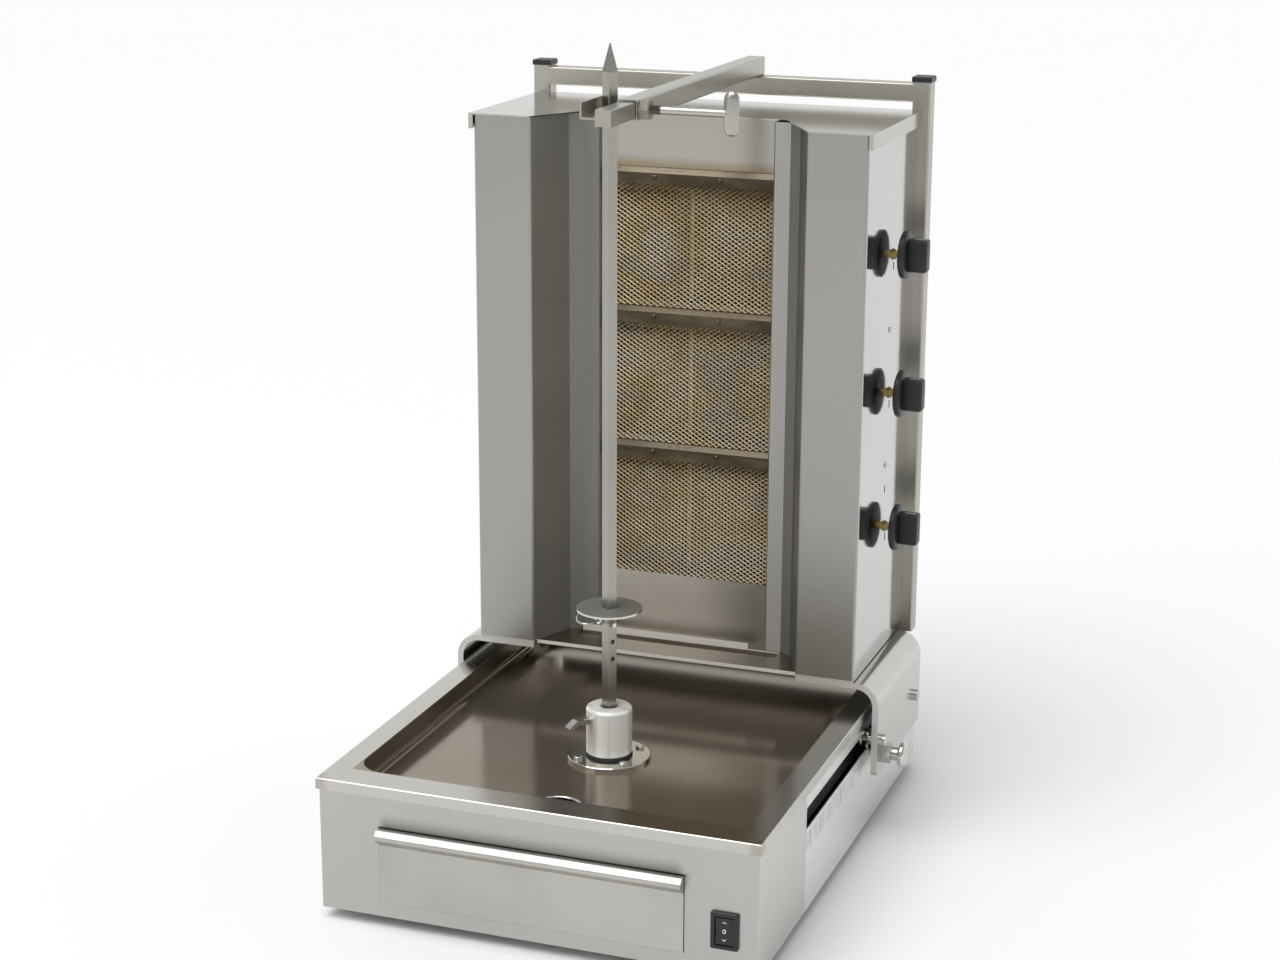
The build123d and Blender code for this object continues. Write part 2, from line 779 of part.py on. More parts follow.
# Bent brackets under the tower, each with the welded nut of its locking screw
bracket_rear = tower_front + bracket_depth
bracket_foot = tower_base - bracket_drop
for side, word in sides:
    inner_side = Side.RIGHT if side > 0 else Side.LEFT
    with BuildPart() as bracket:
        with BuildSketch(face_plane(bracket_rear)):
            with BuildLine():
                FilletPolyline(
                    (side * cheek_inner, tower_base),
                    (side * bracket_outer_x, tower_base),
                    (side * bracket_outer_x, bracket_foot),
                    radius=bracket_bend,
                )
                offset(amount=bracket_thickness, side=inner_side)
            make_face()
        extrude(amount=bracket_depth)
        with BuildSketch(Plane.YZ) as outline:
            with Locations((tower_front, bracket_foot)):
                Rectangle(bracket_depth, bracket_drop, align=(Align.MIN, Align.MIN))
            fillet(outline.vertices().group_by(Axis.Y)[0], bracket_foot_round)
        extrude(amount=side * (bracket_outer_x + bracket_thickness), mode=Mode.INTERSECT)
        with BuildSketch(Plane.YZ.offset(side * bracket_outer_x)):
            with Locations((lock_y, lock_z)):
                RegularPolygon(lock_nut, hex_sides, major_radius=False)
        extrude(amount=side * lock_nut_height)
        nut_span = bracket_thickness + lock_nut_height
        bar_x(
            min(side * bracket_inner_x, side * (bracket_inner_x + nut_span)),
            lock_y,
            lock_z,
            lock_radius + running_gap,
            nut_span,
            mode=Mode.SUBTRACT,
        )
        for recess in guide_bolt_recesses:
            bar_x(
                min(side * bracket_inner_x, side * bracket_outer_x),
                tower_front + recess,
                slot_z,
                guide_bolt_radius,
                bracket_thickness,
                mode=Mode.SUBTRACT,
            )
    keep(bracket, f"bracket_{word}")

# Guide bolts with rollers in the slots of the base
roller_inner_x = half_panel - sheet - roller_side_gap
roller_outer_x = half_panel + roller_side_gap
flange_inner_x = roller_inner_x - guide_flange_thickness
with BuildPart() as guide_bolts:
    for side, word in sides:
        for recess in guide_bolt_recesses:
            bolt_y = tower_front + recess
            stations = (
                (flange_inner_x, roller_inner_x, guide_flange_radius),
                (roller_inner_x, roller_outer_x, roller_radius),
                (roller_outer_x, bracket_outer_x, guide_bolt_radius),
                (bracket_outer_x, bracket_outer_x + guide_head_height, guide_head),
            )
            for inner_x, outer_x, radius in stations:
                bar_x(min(side * inner_x, side * outer_x), bolt_y, slot_z, radius, outer_x - inner_x)
keep(guide_bolts, "guide_bolts")

# Locking screws with a round head
nut_face_x = bracket_outer_x + lock_nut_height
head_x = nut_face_x + lock_tip_gap + lock_barrel_length
tip_x = half_panel + lock_tip_gap
for side, word in sides:
    with BuildPart() as lock_screw:
        head_start = min(side * head_x, side * (head_x + lock_head_height))
        bar_x(head_start, lock_y, lock_z, lock_head_radius, lock_head_height)
        fillet(lock_screw.edges().filter_by(GeomType.CIRCLE), lock_head_round)
        bar_x(min(side * tip_x, side * head_x), lock_y, lock_z, lock_radius, head_x - tip_x)
        bar_x(
            min(side * (head_x - lock_barrel_length), side * head_x),
            lock_y,
            lock_z,
            lock_barrel_radius,
            lock_barrel_length,
        )
    keep(lock_screw, f"lock_screw_{word}")

# Tower floor with a short lip between the cheeks, an air slot and a low rail behind it
lip_y = tower_front + floor_lip_recess
floor_front = tower_front + floor_edge
half_floor = half_tower - floor_edge
slot_rear = tower_front + air_slot_recess + air_slot_depth
with BuildPart() as tower_floor:
    with BuildSketch(Plane.XY.offset(tower_base)):
        with BuildLine():
            Polyline(
                (-half_floor, tower_rear),
                (-half_floor, floor_front),
                (-cheek_inner, floor_front),
                (-cheek_inner, lip_y),
                (cheek_inner, lip_y),
                (cheek_inner, floor_front),
                (half_floor, floor_front),
                (half_floor, tower_rear),
                close=True,
            )
        make_face()
    extrude(amount=sheet)
    block(
        (-cheek_inner + sheet, cheek_inner - sheet),
        (lip_y, lip_y + sheet),
        (tower_base - floor_lip_drop, tower_base),
    )
    block(
        (-column_outer, column_outer),
        (tower_front + air_slot_recess, slot_rear),
        (tower_base, tower_base + sheet),
        mode=Mode.SUBTRACT,
    )
    block(
        (-column_outer, burner_half_width - rail_end_margin),
        (slot_rear, slot_rear + sheet),
        (tower_base, tower_base + sheet + rail_height),
    )
keep(tower_floor, "tower_floor")

# Side shells: outer side, cheek, angled wing and burner column folded from one sheet
for side, word in sides:
    inner_side = Side.RIGHT if side > 0 else Side.LEFT
    with BuildPart() as shell:
        with BuildSketch(Plane.XY.offset(shell_bottom)):
            with BuildLine():
                FilletPolyline(
                    (side * half_tower, tower_rear - sheet),
                    (side * half_tower, tower_front),
                    (side * cheek_inner, tower_front),
                    (side * wing_end_x, tower_front + wing_end_recess),
                    (side * column_outer, tower_front + column_recess),
                    (side * column_inner, tower_front + column_recess),
                    (side * column_inner, tower_front + column_recess + column_return),
                    radius=bend_radius,
                )
                offset(amount=sheet, side=inner_side)
            make_face()
        extrude(amount=shell_top - shell_bottom)
        if side > 0:
            for tap_z in tap_levels:
                bar_x(half_tower - sheet, tap_y, tap_z, spindle_hole_radius, sheet, mode=Mode.SUBTRACT)
    keep(shell, f"tower_shell_{word}")

# Tower back panel
with BuildPart() as back_panel:
    block((-half_tower, half_tower), (tower_rear - sheet, tower_rear), (shell_bottom, shell_top))
    inlet_x = half_tower - valve_panel_gap - sheet - valve_length / 2
    inlet_z = shell_bottom + inlet_height
    bar_y(inlet_x, tower_rear - sheet, inlet_z, inlet_relief_radius, sheet, mode=Mode.SUBTRACT)
keep(back_panel, "back_panel")

# Top cover that follows the wings, with side flanges
cover_half = half_tower + cover_overhang
cover_front = tower_front - cover_front_overhang
with BuildPart() as top_cover:
    with BuildSketch(Plane.XY.offset(shell_top)):
        with BuildLine():
            Polyline(
                (-cover_half, tower_rear),
                (-cover_half, cover_front),
                (-cheek_inner, cover_front),
                (-cover_notch_x, tower_front + cover_notch_recess),
                (cover_notch_x, tower_front + cover_notch_recess),
                (cheek_inner, cover_front),
                (cover_half, cover_front),
                (cover_half, tower_rear),
                close=True,
            )
        make_face()
    extrude(amount=sheet)
    for side, word in sides:
        block(
            (side * (cover_half - sheet), side * cover_half),
            (cover_front, tower_rear),
            (tower_top - cover_flange, shell_top),
        )
        block(
            (side * half_tower, side * cover_half),
            (cover_front, cover_front + sheet),
            (tower_top - cover_flange, shell_top),
        )
keep(top_cover, "top_cover")

# Plain sheets above and below the burners
with BuildPart() as upper_reflector:
    block(
        (-burner_half_width, burner_half_width),
        (burner_y, burner_y + sheet),
        (burner_top, shell_top),
    )
keep(upper_reflector, "upper_reflector")
with BuildPart() as lower_reflector:
    block(
        (-burner_half_width, burner_half_width),
        (burner_y, burner_y + sheet),
        (shell_bottom, burner_low - burner_seam),
    )
keep(lower_reflector, "lower_reflector")

# Infrared burners: case with a drip lip over the window, two ceramic tiles, wire screen
window_half = burner_half_width - burner_edge_band
screen_height = burner_height - burner_lip_height - burner_seam
window_height = screen_height - 2 * burner_edge_band
tile_y = burner_y + tile_recess
tile_width = burner_half_width - sheet - slide_gap - tile_joint / 2
gap_width = 2 * burner_half_width / screen_columns - screen_wire
gap_height = screen_height / screen_rows - screen_wire
for index in range(burner_count):
    case_low = burner_low + index * burner_pitch
    case_high = case_low + burner_height
    window_low = case_low + burner_edge_band
    with BuildPart() as burner_case:
        block(
            (-burner_half_width, burner_half_width),
            (burner_y, burner_y + burner_depth),
            (case_low, case_high),
        )
        block(
            (-burner_half_width + sheet, burner_half_width - sheet),
            (burner_y + sheet, burner_y + burner_depth - sheet),
            (case_low + sheet, case_high - sheet),
            mode=Mode.SUBTRACT,
        )
        block(
            (-window_half, window_half),
            (burner_y, burner_y + sheet),
            (window_low, window_low + window_height),
            mode=Mode.SUBTRACT,
        )
        with BuildSketch(Plane.YZ.offset(-burner_half_width)):
            with BuildLine():
                Polyline(
                    (burner_y, case_high),
                    (burner_y - burner_lip_depth, case_high - burner_lip_slope),
                    (burner_y - burner_lip_depth, case_high - burner_lip_height),
                    (burner_y, case_high - burner_lip_height),
                    close=True,
                )
            make_face()
        extrude(amount=2 * burner_half_width)
        bar_x(
            burner_half_width - sheet,
            tap_y,
            tap_levels[index],
            injector_radius,
            sheet,
            mode=Mode.SUBTRACT,
        )
    keep(burner_case, f"burner_case_{index + 1}")
    with BuildPart() as burner_screen:
        with BuildSketch(face_plane(burner_y)):
            with Locations((0, case_low + screen_height / 2)):
                Rectangle(2 * burner_half_width, screen_height)
                with GridLocations(
                    gap_width + screen_wire,
                    gap_height + screen_wire,
                    screen_columns,
                    screen_rows,
                ):
                    Rectangle(gap_width, gap_height, mode=Mode.SUBTRACT)
        extrude(amount=screen_thickness)
    keep(burner_screen, f"burner_screen_{index + 1}")

# Ceramic tiles, two side by side in each burner
with BuildPart() as burner_tiles:
    for index in range(burner_count):
        case_low = burner_low + index * burner_pitch
        for side, word in sides:
            block(
                (side * tile_joint / 2, side * (tile_joint / 2 + tile_width)),
                (tile_y, tile_y + tile_thickness),
                (case_low + sheet + slide_gap, case_low + burner_height - sheet - slide_gap),
            )
keep(burner_tiles, "burner_tiles")

# Gas valves behind the right side of the tower, one for each burner
valve_outer_x = half_tower - sheet - valve_panel_gap
valve_inner_x = valve_outer_x - valve_length
spindle_bore = spindle_radius + running_gap
with BuildPart() as gas_valves:
    for tap_z in tap_levels:
        block(
            (valve_inner_x, valve_outer_x),
            (tap_y - valve_width / 2, tap_y + valve_width / 2),
            (tap_z - valve_height / 2, tap_z + valve_height / 2),
        )
        bar_x(
            valve_outer_x - spindle_depth - spindle_push,
            tap_y,
            tap_z,
            spindle_bore,
            spindle_depth + spindle_push,
            mode=Mode.SUBTRACT,
        )
keep(gas_valves, "gas_valves")

# Injector pipes from the valves into the burner cases
with BuildPart() as injector_pipes:
    for tap_z in tap_levels:
        start_x = burner_half_width - sheet
        bar_x(start_x, tap_y, tap_z, injector_radius, valve_inner_x - start_x)
keep(injector_pipes, "injector_pipes")

# Upright manifold behind the valves, with the threaded inlet through the back panel
manifold_x = (valve_inner_x + valve_outer_x) / 2
manifold_y = tap_y + valve_width / 2 + manifold_offset
manifold_top = tap_levels[-1] + manifold_top_margin
with BuildPart() as gas_manifold:
    manifold_low = inlet_z - manifold_radius
    bar_z(manifold_x, manifold_y, manifold_low, manifold_radius, manifold_top - manifold_low)
    for tap_z in tap_levels:
        bar_y(manifold_x, tap_y + valve_width / 2, tap_z, injector_radius, manifold_offset)
    bar_y(inlet_x, manifold_y, inlet_z, manifold_radius, tower_rear - sheet - manifold_y)
    neck_start = tower_rear - sheet
    thread_start = tower_rear + inlet_nut_depth + inlet_relief_length
    bar_y(inlet_x, neck_start, inlet_z, inlet_relief_radius, thread_start - neck_start)
    with BuildSketch(face_plane(tower_rear)):
        with Locations((inlet_x, inlet_z)):
            RegularPolygon(inlet_nut, hex_sides, major_radius=False)
    extrude(amount=-inlet_nut_depth)
    bar_y(inlet_x, thread_start, inlet_z, inlet_radius, inlet_length)
    chamfer(gas_manifold.faces().sort_by(Axis.Y)[-1].edges(), sheet)
keep(gas_manifold, "gas_manifold")

# Gas taps: brass spindles that push in, knobs that turn on them
spindle_start = valve_outer_x - spindle_depth
spindle_end = knob_x + grip_height / 2
for index, tap_z in enumerate(tap_levels):
    with BuildPart() as valve_spindle:
        bar_x(spindle_start, tap_y, tap_z, spindle_radius, spindle_end - spindle_start)
    keep(valve_spindle, f"valve_spindle_{index + 1}")
    with BuildPart() as knob:
        bar_x(knob_x, tap_y, tap_z, skirt_radius, skirt_thickness)
        chamfer(knob.faces().sort_by(Axis.X)[-1].edges(), sheet)
        with BuildSketch(Plane.YZ.offset(knob_x + skirt_thickness)):
            with Locations((tap_y, tap_z)):
                RectangleRounded(grip_width, grip_length, grip_round)
        extrude(amount=grip_height)
        fillet(knob.faces().sort_by(Axis.X)[-1].edges(), grip_round / 2)
        bar_x(knob_x, tap_y, tap_z, spindle_bore, spindle_end - knob_x, mode=Mode.SUBTRACT)
    keep(knob, f"knob_{index + 1}")

# Rear frame: two posts and a crossbar of square tube
post_x = half_tower + post_offset
post_y = tower_rear + tube_side / 2
with BuildPart() as rear_frame:
    with BuildSketch(Plane.XY.offset(foot_height + post_foot)):
        with Locations((-post_x, post_y), (post_x, post_y)):
            RectangleRounded(tube_side, tube_side, tube_round)
            Rectangle(bore_side, bore_side, mode=Mode.SUBTRACT)
    extrude(amount=post_top - foot_height - post_foot)
    with BuildSketch(Plane.YZ.offset(-post_x + bore_side / 2)):
        with Locations((post_y, crossbar_z + tube_side / 2)):
            RectangleRounded(tube_side, tube_side, tube_round)
            Rectangle(bore_side, bore_side, mode=Mode.SUBTRACT)
    extrude(amount=2 * post_x - bore_side)
keep(rear_frame, "rear_frame")

# Plastic caps plugged into the posts
with BuildPart() as post_caps:
    with BuildSketch(Plane.XY.offset(post_top)):
        with Locations((-post_x, post_y), (post_x, post_y)):
            Rectangle(tube_side + 2 * cap_overhang, tube_side + 2 * cap_overhang)
    extrude(amount=cap_height)
    fillet(post_caps.faces().filter_by(Axis.Z).group_by(Axis.Z)[-1].edges(), sheet)
    with BuildSketch(Plane.XY.offset(post_top - cap_plug)):
        with Locations((-post_x, post_y), (post_x, post_y)):
            Rectangle(bore_side - slide_gap, bore_side - slide_gap)
    extrude(amount=cap_plug)
keep(post_caps, "post_caps")

# Arm of square tube on the crossbar, with the clamp nut and a side slot for the fork's web
arm_length = arm_rear_setback - arm_front_setback
shank_half = shank_side / 2
web_bottom = arm_z - shank_half
slot_end = front + trough_rear_setback + tower_travel + 2 * slide_gap
arm_side_x = arm_x + tube_side / 2
with BuildPart() as support_arm:
    with BuildSketch(face_plane(arm_front + arm_length)):
        with Locations((arm_x, arm_z)):
            RectangleRounded(tube_side, tube_side, tube_round)
            Rectangle(bore_side, bore_side, mode=Mode.SUBTRACT)
    extrude(amount=arm_length)
    with BuildSketch(Plane.YZ.offset(arm_side_x)):
        with Locations((clamp_y, arm_z)):
            RegularPolygon(clamp_nut, hex_sides, major_radius=False)
    extrude(amount=clamp_nut_height)
    bar_x(
        arm_side_x - tube_wall,
        clamp_y,
        arm_z,
        clamp_radius + running_gap,
        tube_wall + clamp_nut_height,
        mode=Mode.SUBTRACT,
    )
    block(
        (arm_x - tube_side / 2, arm_x - bore_side / 2),
        (arm_front, slot_end),
        (web_bottom - slide_gap, web_bottom + trough_sheet + slide_gap),
        mode=Mode.SUBTRACT,
    )
keep(support_arm, "support_arm")

# Fork: square shank inside the arm, with the trough that the skewer stands in
shank_front = front + shank_front_setback
shank_left = arm_x - shank_half
trough_front = front + trough_front_setback
trough_rear = front + trough_rear_setback
with BuildPart() as fork:
    block(
        (shank_left, arm_x + shank_half),
        (shank_front, shank_front + shank_length),
        (arm_z - shank_half, arm_z + shank_half),
    )
    chamfer(fork.edges().filter_by(Axis.Y), sheet / 2)
    block(
        (trough_left, shank_left + sheet),
        (trough_front, trough_rear),
        (web_bottom, web_bottom + trough_sheet),
    )
    block(
        (trough_left, trough_left + trough_sheet),
        (trough_front, trough_rear),
        (web_bottom, arm_z + shank_half),
    )
    bar_z(0, spit_y, web_bottom, trough_hole, trough_sheet, mode=Mode.SUBTRACT)
keep(fork, "fork")

# T-shaped clamp screw of the fork
clamp_start = arm_x + shank_half + clamp_tip_gap
rod_start = clamp_start + clamp_thread_length
bar_start = rod_start + clamp_rod_length
with BuildPart() as clamp_screw:
    with BuildSketch(face_plane(clamp_y + clamp_bar_thickness / 2)):
        with Locations((bar_start + clamp_bar_width / 2, arm_z)):
            SlotOverall(clamp_bar_height, clamp_bar_width, rotation=90)
    extrude(amount=clamp_bar_thickness)
    fillet(clamp_screw.faces().filter_by(Axis.Y).edges(), sheet)
    bar_x(clamp_start, clamp_y, arm_z, clamp_radius, clamp_thread_length)
    bar_x(rod_start, clamp_y, arm_z, clamp_rod_radius, clamp_rod_length + clamp_bar_width / 2)
keep(clamp_screw, "clamp_screw")
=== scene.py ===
"""Dresses a vertical gas rotisserie: finishes, wire screens, small fittings, floor, light and camera."""

import logging
import math
from dataclasses import dataclass
from enum import Enum
from typing import Any, Sequence

import bmesh
import bpy
from mathutils import Matrix, Vector


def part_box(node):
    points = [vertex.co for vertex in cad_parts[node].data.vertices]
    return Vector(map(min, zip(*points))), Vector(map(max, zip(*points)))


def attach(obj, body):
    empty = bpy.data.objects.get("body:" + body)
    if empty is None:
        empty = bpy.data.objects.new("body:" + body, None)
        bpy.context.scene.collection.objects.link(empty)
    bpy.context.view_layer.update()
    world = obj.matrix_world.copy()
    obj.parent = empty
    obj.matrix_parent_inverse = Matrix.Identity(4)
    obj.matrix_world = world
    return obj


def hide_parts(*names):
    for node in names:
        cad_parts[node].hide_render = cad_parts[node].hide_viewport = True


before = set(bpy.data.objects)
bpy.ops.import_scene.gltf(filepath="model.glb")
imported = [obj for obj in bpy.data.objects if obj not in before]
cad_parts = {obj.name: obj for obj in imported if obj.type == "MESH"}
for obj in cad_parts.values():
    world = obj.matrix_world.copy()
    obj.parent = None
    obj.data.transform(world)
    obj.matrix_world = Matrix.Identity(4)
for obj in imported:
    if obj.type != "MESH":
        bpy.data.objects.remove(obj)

MM = 0.001
LOG = logging.getLogger("rotisserie")
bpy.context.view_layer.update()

Colour = tuple[float, float, float]
Point = tuple[float, float, float]
Edges = tuple[float, float]

ALONG_X: Point = (1.0, 0.0, 0.0)
TO_FRONT: Point = (0.0, -1.0, 0.0)
UP: Point = (0.0, 0.0, 1.0)
GRAIN_CELLS = 900.0
FINE_DETAIL = 2.0
BROAD_DETAIL = 3.0
CLOUD_CELLS = 6.0
SMEAR_CELLS = 38.0
SMEAR_DETAIL = 4.0
SCRATCH_HEIGHT = 0.4 * MM
CLOUD_EDGES: Edges = (0.3, 0.7)
SQUARE_EDGES: Edges = (0.6, 0.85)
UNDER_EDGES: Edges = (-0.85, -0.6)
WORN_TONE: Colour = (0.30, 0.29, 0.27)
# Tone of painted shade that darkens a steel towards the right.
PAINTED_SHADE_TONE: Colour = (0.12, 0.11, 0.09)
BURNER_NUMBERS = (1, 2, 3)
SIDES = (-1.0, 1.0)

DRESSING: dict[str, tuple[str, ...]] = {
    "steel_front": ("base_front_panel",),
    "steel_drawer": ("drawer_front", "drawer_tray", "drawer_runners"),
    "steel_base_side": ("base_side_panel_left", "base_side_panel_right"),
    "steel_casing": ("base_rear_panel", "base_bottom_plate", "back_panel"),
    "steel_pan": ("drip_pan",),
    "black_rubber": ("feet", "shaft_seal"),
    "black_plastic": ("switch_bezel", "switch_rocker", "cable_gland", "post_caps"),
    "drive_paint": ("gearbox", "motor"),
    "hub_alloy": ("hub",),
    "steel_turned": (
        *("drive_shaft", "thumb_screw", "flange_screws", "lock_pin", "pin_ring"),
        *("guide_bolts", "lock_screw_left", "lock_screw_right"),
    ),
    "steel_meat_disc": ("meat_disc",),
    "steel_disc": ("spit_flange",),
    "steel_bar": ("skewer",),
    "brass": (
        *("shaft_bearing", "gas_manifold", "gas_valves", "injector_pipes"),
        *(f"valve_spindle_{number}" for number in BURNER_NUMBERS),
    ),
    "steel_shell_left": ("tower_shell_left",),
    "steel_shell_right": ("tower_shell_right",),
    "steel_cover": ("top_cover",),
    "steel_upper_reflector": ("upper_reflector",),
    "steel_reflector": ("lower_reflector",),
    "steel_floor": ("tower_floor",),
    "steel_plate": ("bracket_left", "bracket_right"),
    "steel_post": ("rear_frame",),
    "steel_tube": ("support_arm", "fork"),
    "burner_lip": tuple(f"burner_case_{number}" for number in BURNER_NUMBERS),
    "burner_tile": ("burner_tiles",),
}


class Grain(Enum):
    """Axis that a sheet is brushed along, as the stretch of its grain."""

    X = (0.006, 1.0, 1.0)
    Y = (1.0, 0.006, 1.0)
    Z = (1.0, 1.0, 0.006)


def scaled(tone: Colour, factor: float) -> Colour:
    """A tone made darker or lighter by a factor."""
    return tuple(min(1.0, factor * part) for part in tone)


def centre(node: str) -> Vector:
    """Middle of a CAD node's box, in metres."""
    low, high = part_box(node)
    return (low + high) / 2


class Signal:
    """One output socket of a node tree, with operators that add Math nodes."""

    def __init__(self, sheet: "NodeSheet", socket: bpy.types.NodeSocket) -> None:
        """Hold one socket of a sheet.

        Args:
            sheet: the node tree.
            socket: the output socket that carries the value.
        """
        self.sheet = sheet
        self.socket = socket

    def _math(self, operation: str, first: Any, second: Any) -> "Signal":
        """Add one Math node.

        Args:
            operation: Blender's name of the operation.
            first: a signal or a number.
            second: a signal or a number.

        Returns:
            The result as a signal.
        """
        return self.sheet.add("ShaderNodeMath", {"operation": operation}, {0: first, 1: second})

    def __add__(self, other: Any) -> "Signal":
        """Sum of this and other."""
        return self._math("ADD", self, other)

    __radd__ = __add__

    def __sub__(self, other: Any) -> "Signal":
        """This less other."""
        return self._math("SUBTRACT", self, other)

    def __rsub__(self, other: Any) -> "Signal":
        """Other less this."""
        return self._math("SUBTRACT", other, self)

    def __mul__(self, other: Any) -> "Signal":
        """Product of this and other."""
        return self._math("MULTIPLY", self, other)

    __rmul__ = __mul__

    def step(self, low: float, high: float) -> "Signal":
        """Smooth step of this signal.

        Args:
            low: value at which the step is 0.
            high: value at which the step is 1.

        Returns:
            A signal between 0 and 1.
        """
        return self.sheet.add(
            "ShaderNodeMapRange",
            {"interpolation_type": "SMOOTHSTEP"},
            {"Value": self, "From Min": low, "From Max": high},
        )

    def within(self, low: float, high: float, rise: float, fall: float) -> "Signal":
        """Smooth mask of the values between two bounds.

        Args:
            low: lower bound, where the mask starts to rise.
            high: upper bound, where the mask has fallen.
            rise: width of the rise.
            fall: width of the fall.

        Returns:
            A signal between 0 and 1.
        """
        return self.step(low, low + rise) * (1.0 - self.step(high - fall, high))

    def between(self, first: Any, second: Any) -> "Signal":
        """Value that runs from first to second as this signal runs from 0 to 1."""
        return self * (second - first) + first

    def swing(self, depth: float) -> "Signal":
        """How far a noise is from its middle, times a depth."""
        return (self - 0.5) * depth


class NodeSheet:
    """Node tree of a material or a sky, written as expressions."""

    def __init__(self, tree: bpy.types.NodeTree) -> None:
        """Hold a node tree.

        Args:
            tree: the tree that nodes are added to.
        """
        self.tree = tree

    def add(
        self,
        kind: str,
        settings: dict[str, Any],
        inputs: dict[str | int, Any],
        output: str | int = 0,
    ) -> Signal:
        """Add any node.

        Args:
            kind: Blender's type name of the node.
            settings: attributes set first; "stops" holds a ramp's (position, colour) pairs.
            inputs: numbers, vectors or signals for its input sockets.
            output: the output socket that is wanted.

        Returns:
            The wanted output as a signal.
        """
        node = self.tree.nodes.new(kind)
        for key, setting in settings.items():
            if key == "stops":
                self._set_stops(node.color_ramp, setting)
            else:
                setattr(node, key, setting)
        for key, given in inputs.items():
            if isinstance(given, Signal):
                self.tree.links.new(given.socket, node.inputs[key])
            else:
                node.inputs[key].default_value = given
        return Signal(self, node.outputs[output])

    @staticmethod
    def _set_stops(ramp: bpy.types.ColorRamp, stops: Sequence[tuple[float, Colour]]) -> None:
        """Give a colour ramp its stops.

        Args:
            ramp: the ramp to fill.
            stops: pairs of position and colour, in order.
        """
        while len(ramp.elements) < len(stops):
            ramp.elements.new(1.0)
        for element, (position, colour) in zip(ramp.elements, stops):
            element.position = position
            element.color = (*colour, 1.0)


class ShaderSheet(NodeSheet):
    """Node tree of one material."""

    def __init__(self, name: str) -> None:
        """Start an empty material.

        Args:
            name: the material's name.
        """
        self.material = bpy.data.materials.new(name)
        self.material.use_nodes = True
        super().__init__(self.material.node_tree)
        self.tree.nodes.clear()

    def place(self) -> Signal:
        """Object coordinates."""
        return self.add("ShaderNodeTexCoord", {}, {}, "Object")

    def axis(self, name: str) -> Signal:
        """One coordinate of the place, by the name X, Y or Z."""
        return self.add("ShaderNodeSeparateXYZ", {}, {0: self.place()}, name)

    def noise(self, scale: float, detail: float = 2.0, stretch: Point = (1.0, 1.0, 1.0)) -> Signal:
        """Soft noise on object coordinates.

        Args:
            scale: cells per metre before the stretch.
            detail: octaves of the noise.
            stretch: factor on each axis.

        Returns:
            A signal about 0.5.
        """
        spread = self.add(
            "ShaderNodeVectorMath", {"operation": "MULTIPLY"}, {0: self.place(), 1: stretch}
        )
        return self.add("ShaderNodeTexNoise", {}, {"Vector": spread, "Scale": scale, "Detail": detail})

    def grain(self, brushed: Grain, cells: float = GRAIN_CELLS) -> Signal:
        """Fine noise drawn out along the brushed axis."""
        return self.noise(cells, FINE_DETAIL, brushed.value)

    def clouds(self, cells: float = CLOUD_CELLS) -> Signal:
        """Broad, soft patches between 0 and 1."""
        return self.noise(cells, BROAD_DETAIL).step(*CLOUD_EDGES)

    def absolute(self, name: str) -> Signal:
        """Distance from the origin along one axis."""
        return self.add("ShaderNodeMath", {"operation": "ABSOLUTE"}, {0: self.axis(name)})

    def blend(self, factor: Any, first: Any, second: Any) -> Signal:
        """Mix two colours.

        Args:
            factor: 0 gives the first colour, 1 the second.
            first: a colour or a signal.
            second: a colour or a signal.

        Returns:
            The mixed colour.
        """
        colours = [c if isinstance(c, Signal) else (*c, 1.0) for c in (first, second)]
        return self.add(
            "ShaderNodeMix", {"data_type": "RGBA"}, {0: factor, 6: colours[0], 7: colours[1]}, 2
        )

    def normal(self, name: str) -> Signal:
        """One part of the face's normal."""
        normal = self.add("ShaderNodeNewGeometry", {}, {}, "Normal")
        return self.add("ShaderNodeSeparateXYZ", {}, {0: normal}, name)

    def facing(self, name: str) -> Signal:
        """Mask of the faces that stand square to one axis."""
        along = self.normal(name)
        return (along * along).step(*SQUARE_EDGES)

    def bump(self, height: Signal, strength: float, distance: float) -> Signal:
        """Normal that follows a height signal.

        Args:
            height: the height.
            strength: how much of it shows.
            distance: height in metres of a full step.

        Returns:
            The normal.
        """
        return self.add(
            "ShaderNodeBump", {}, {"Strength": strength, "Distance": distance, "Height": height}
        )

    def surface(self, **inputs: Any) -> bpy.types.Material:
        """Close the sheet with one Principled surface.

        Args:
            **inputs: its sockets, with underscores for spaces and colours of three numbers.

        Returns:
            The finished material.
        """
        sockets: dict[str | int, Any] = {}
        for key, given in inputs.items():
            colour = isinstance(given, tuple) and len(given) == 3
            sockets[key.replace("_", " ")] = (*given, 1.0) if colour else given
        shader = self.add("ShaderNodeBsdfPrincipled", {}, sockets)
        node = self.tree.nodes.new("ShaderNodeOutputMaterial")
        self.tree.links.new(shader.socket, node.inputs["Surface"])
        return self.material


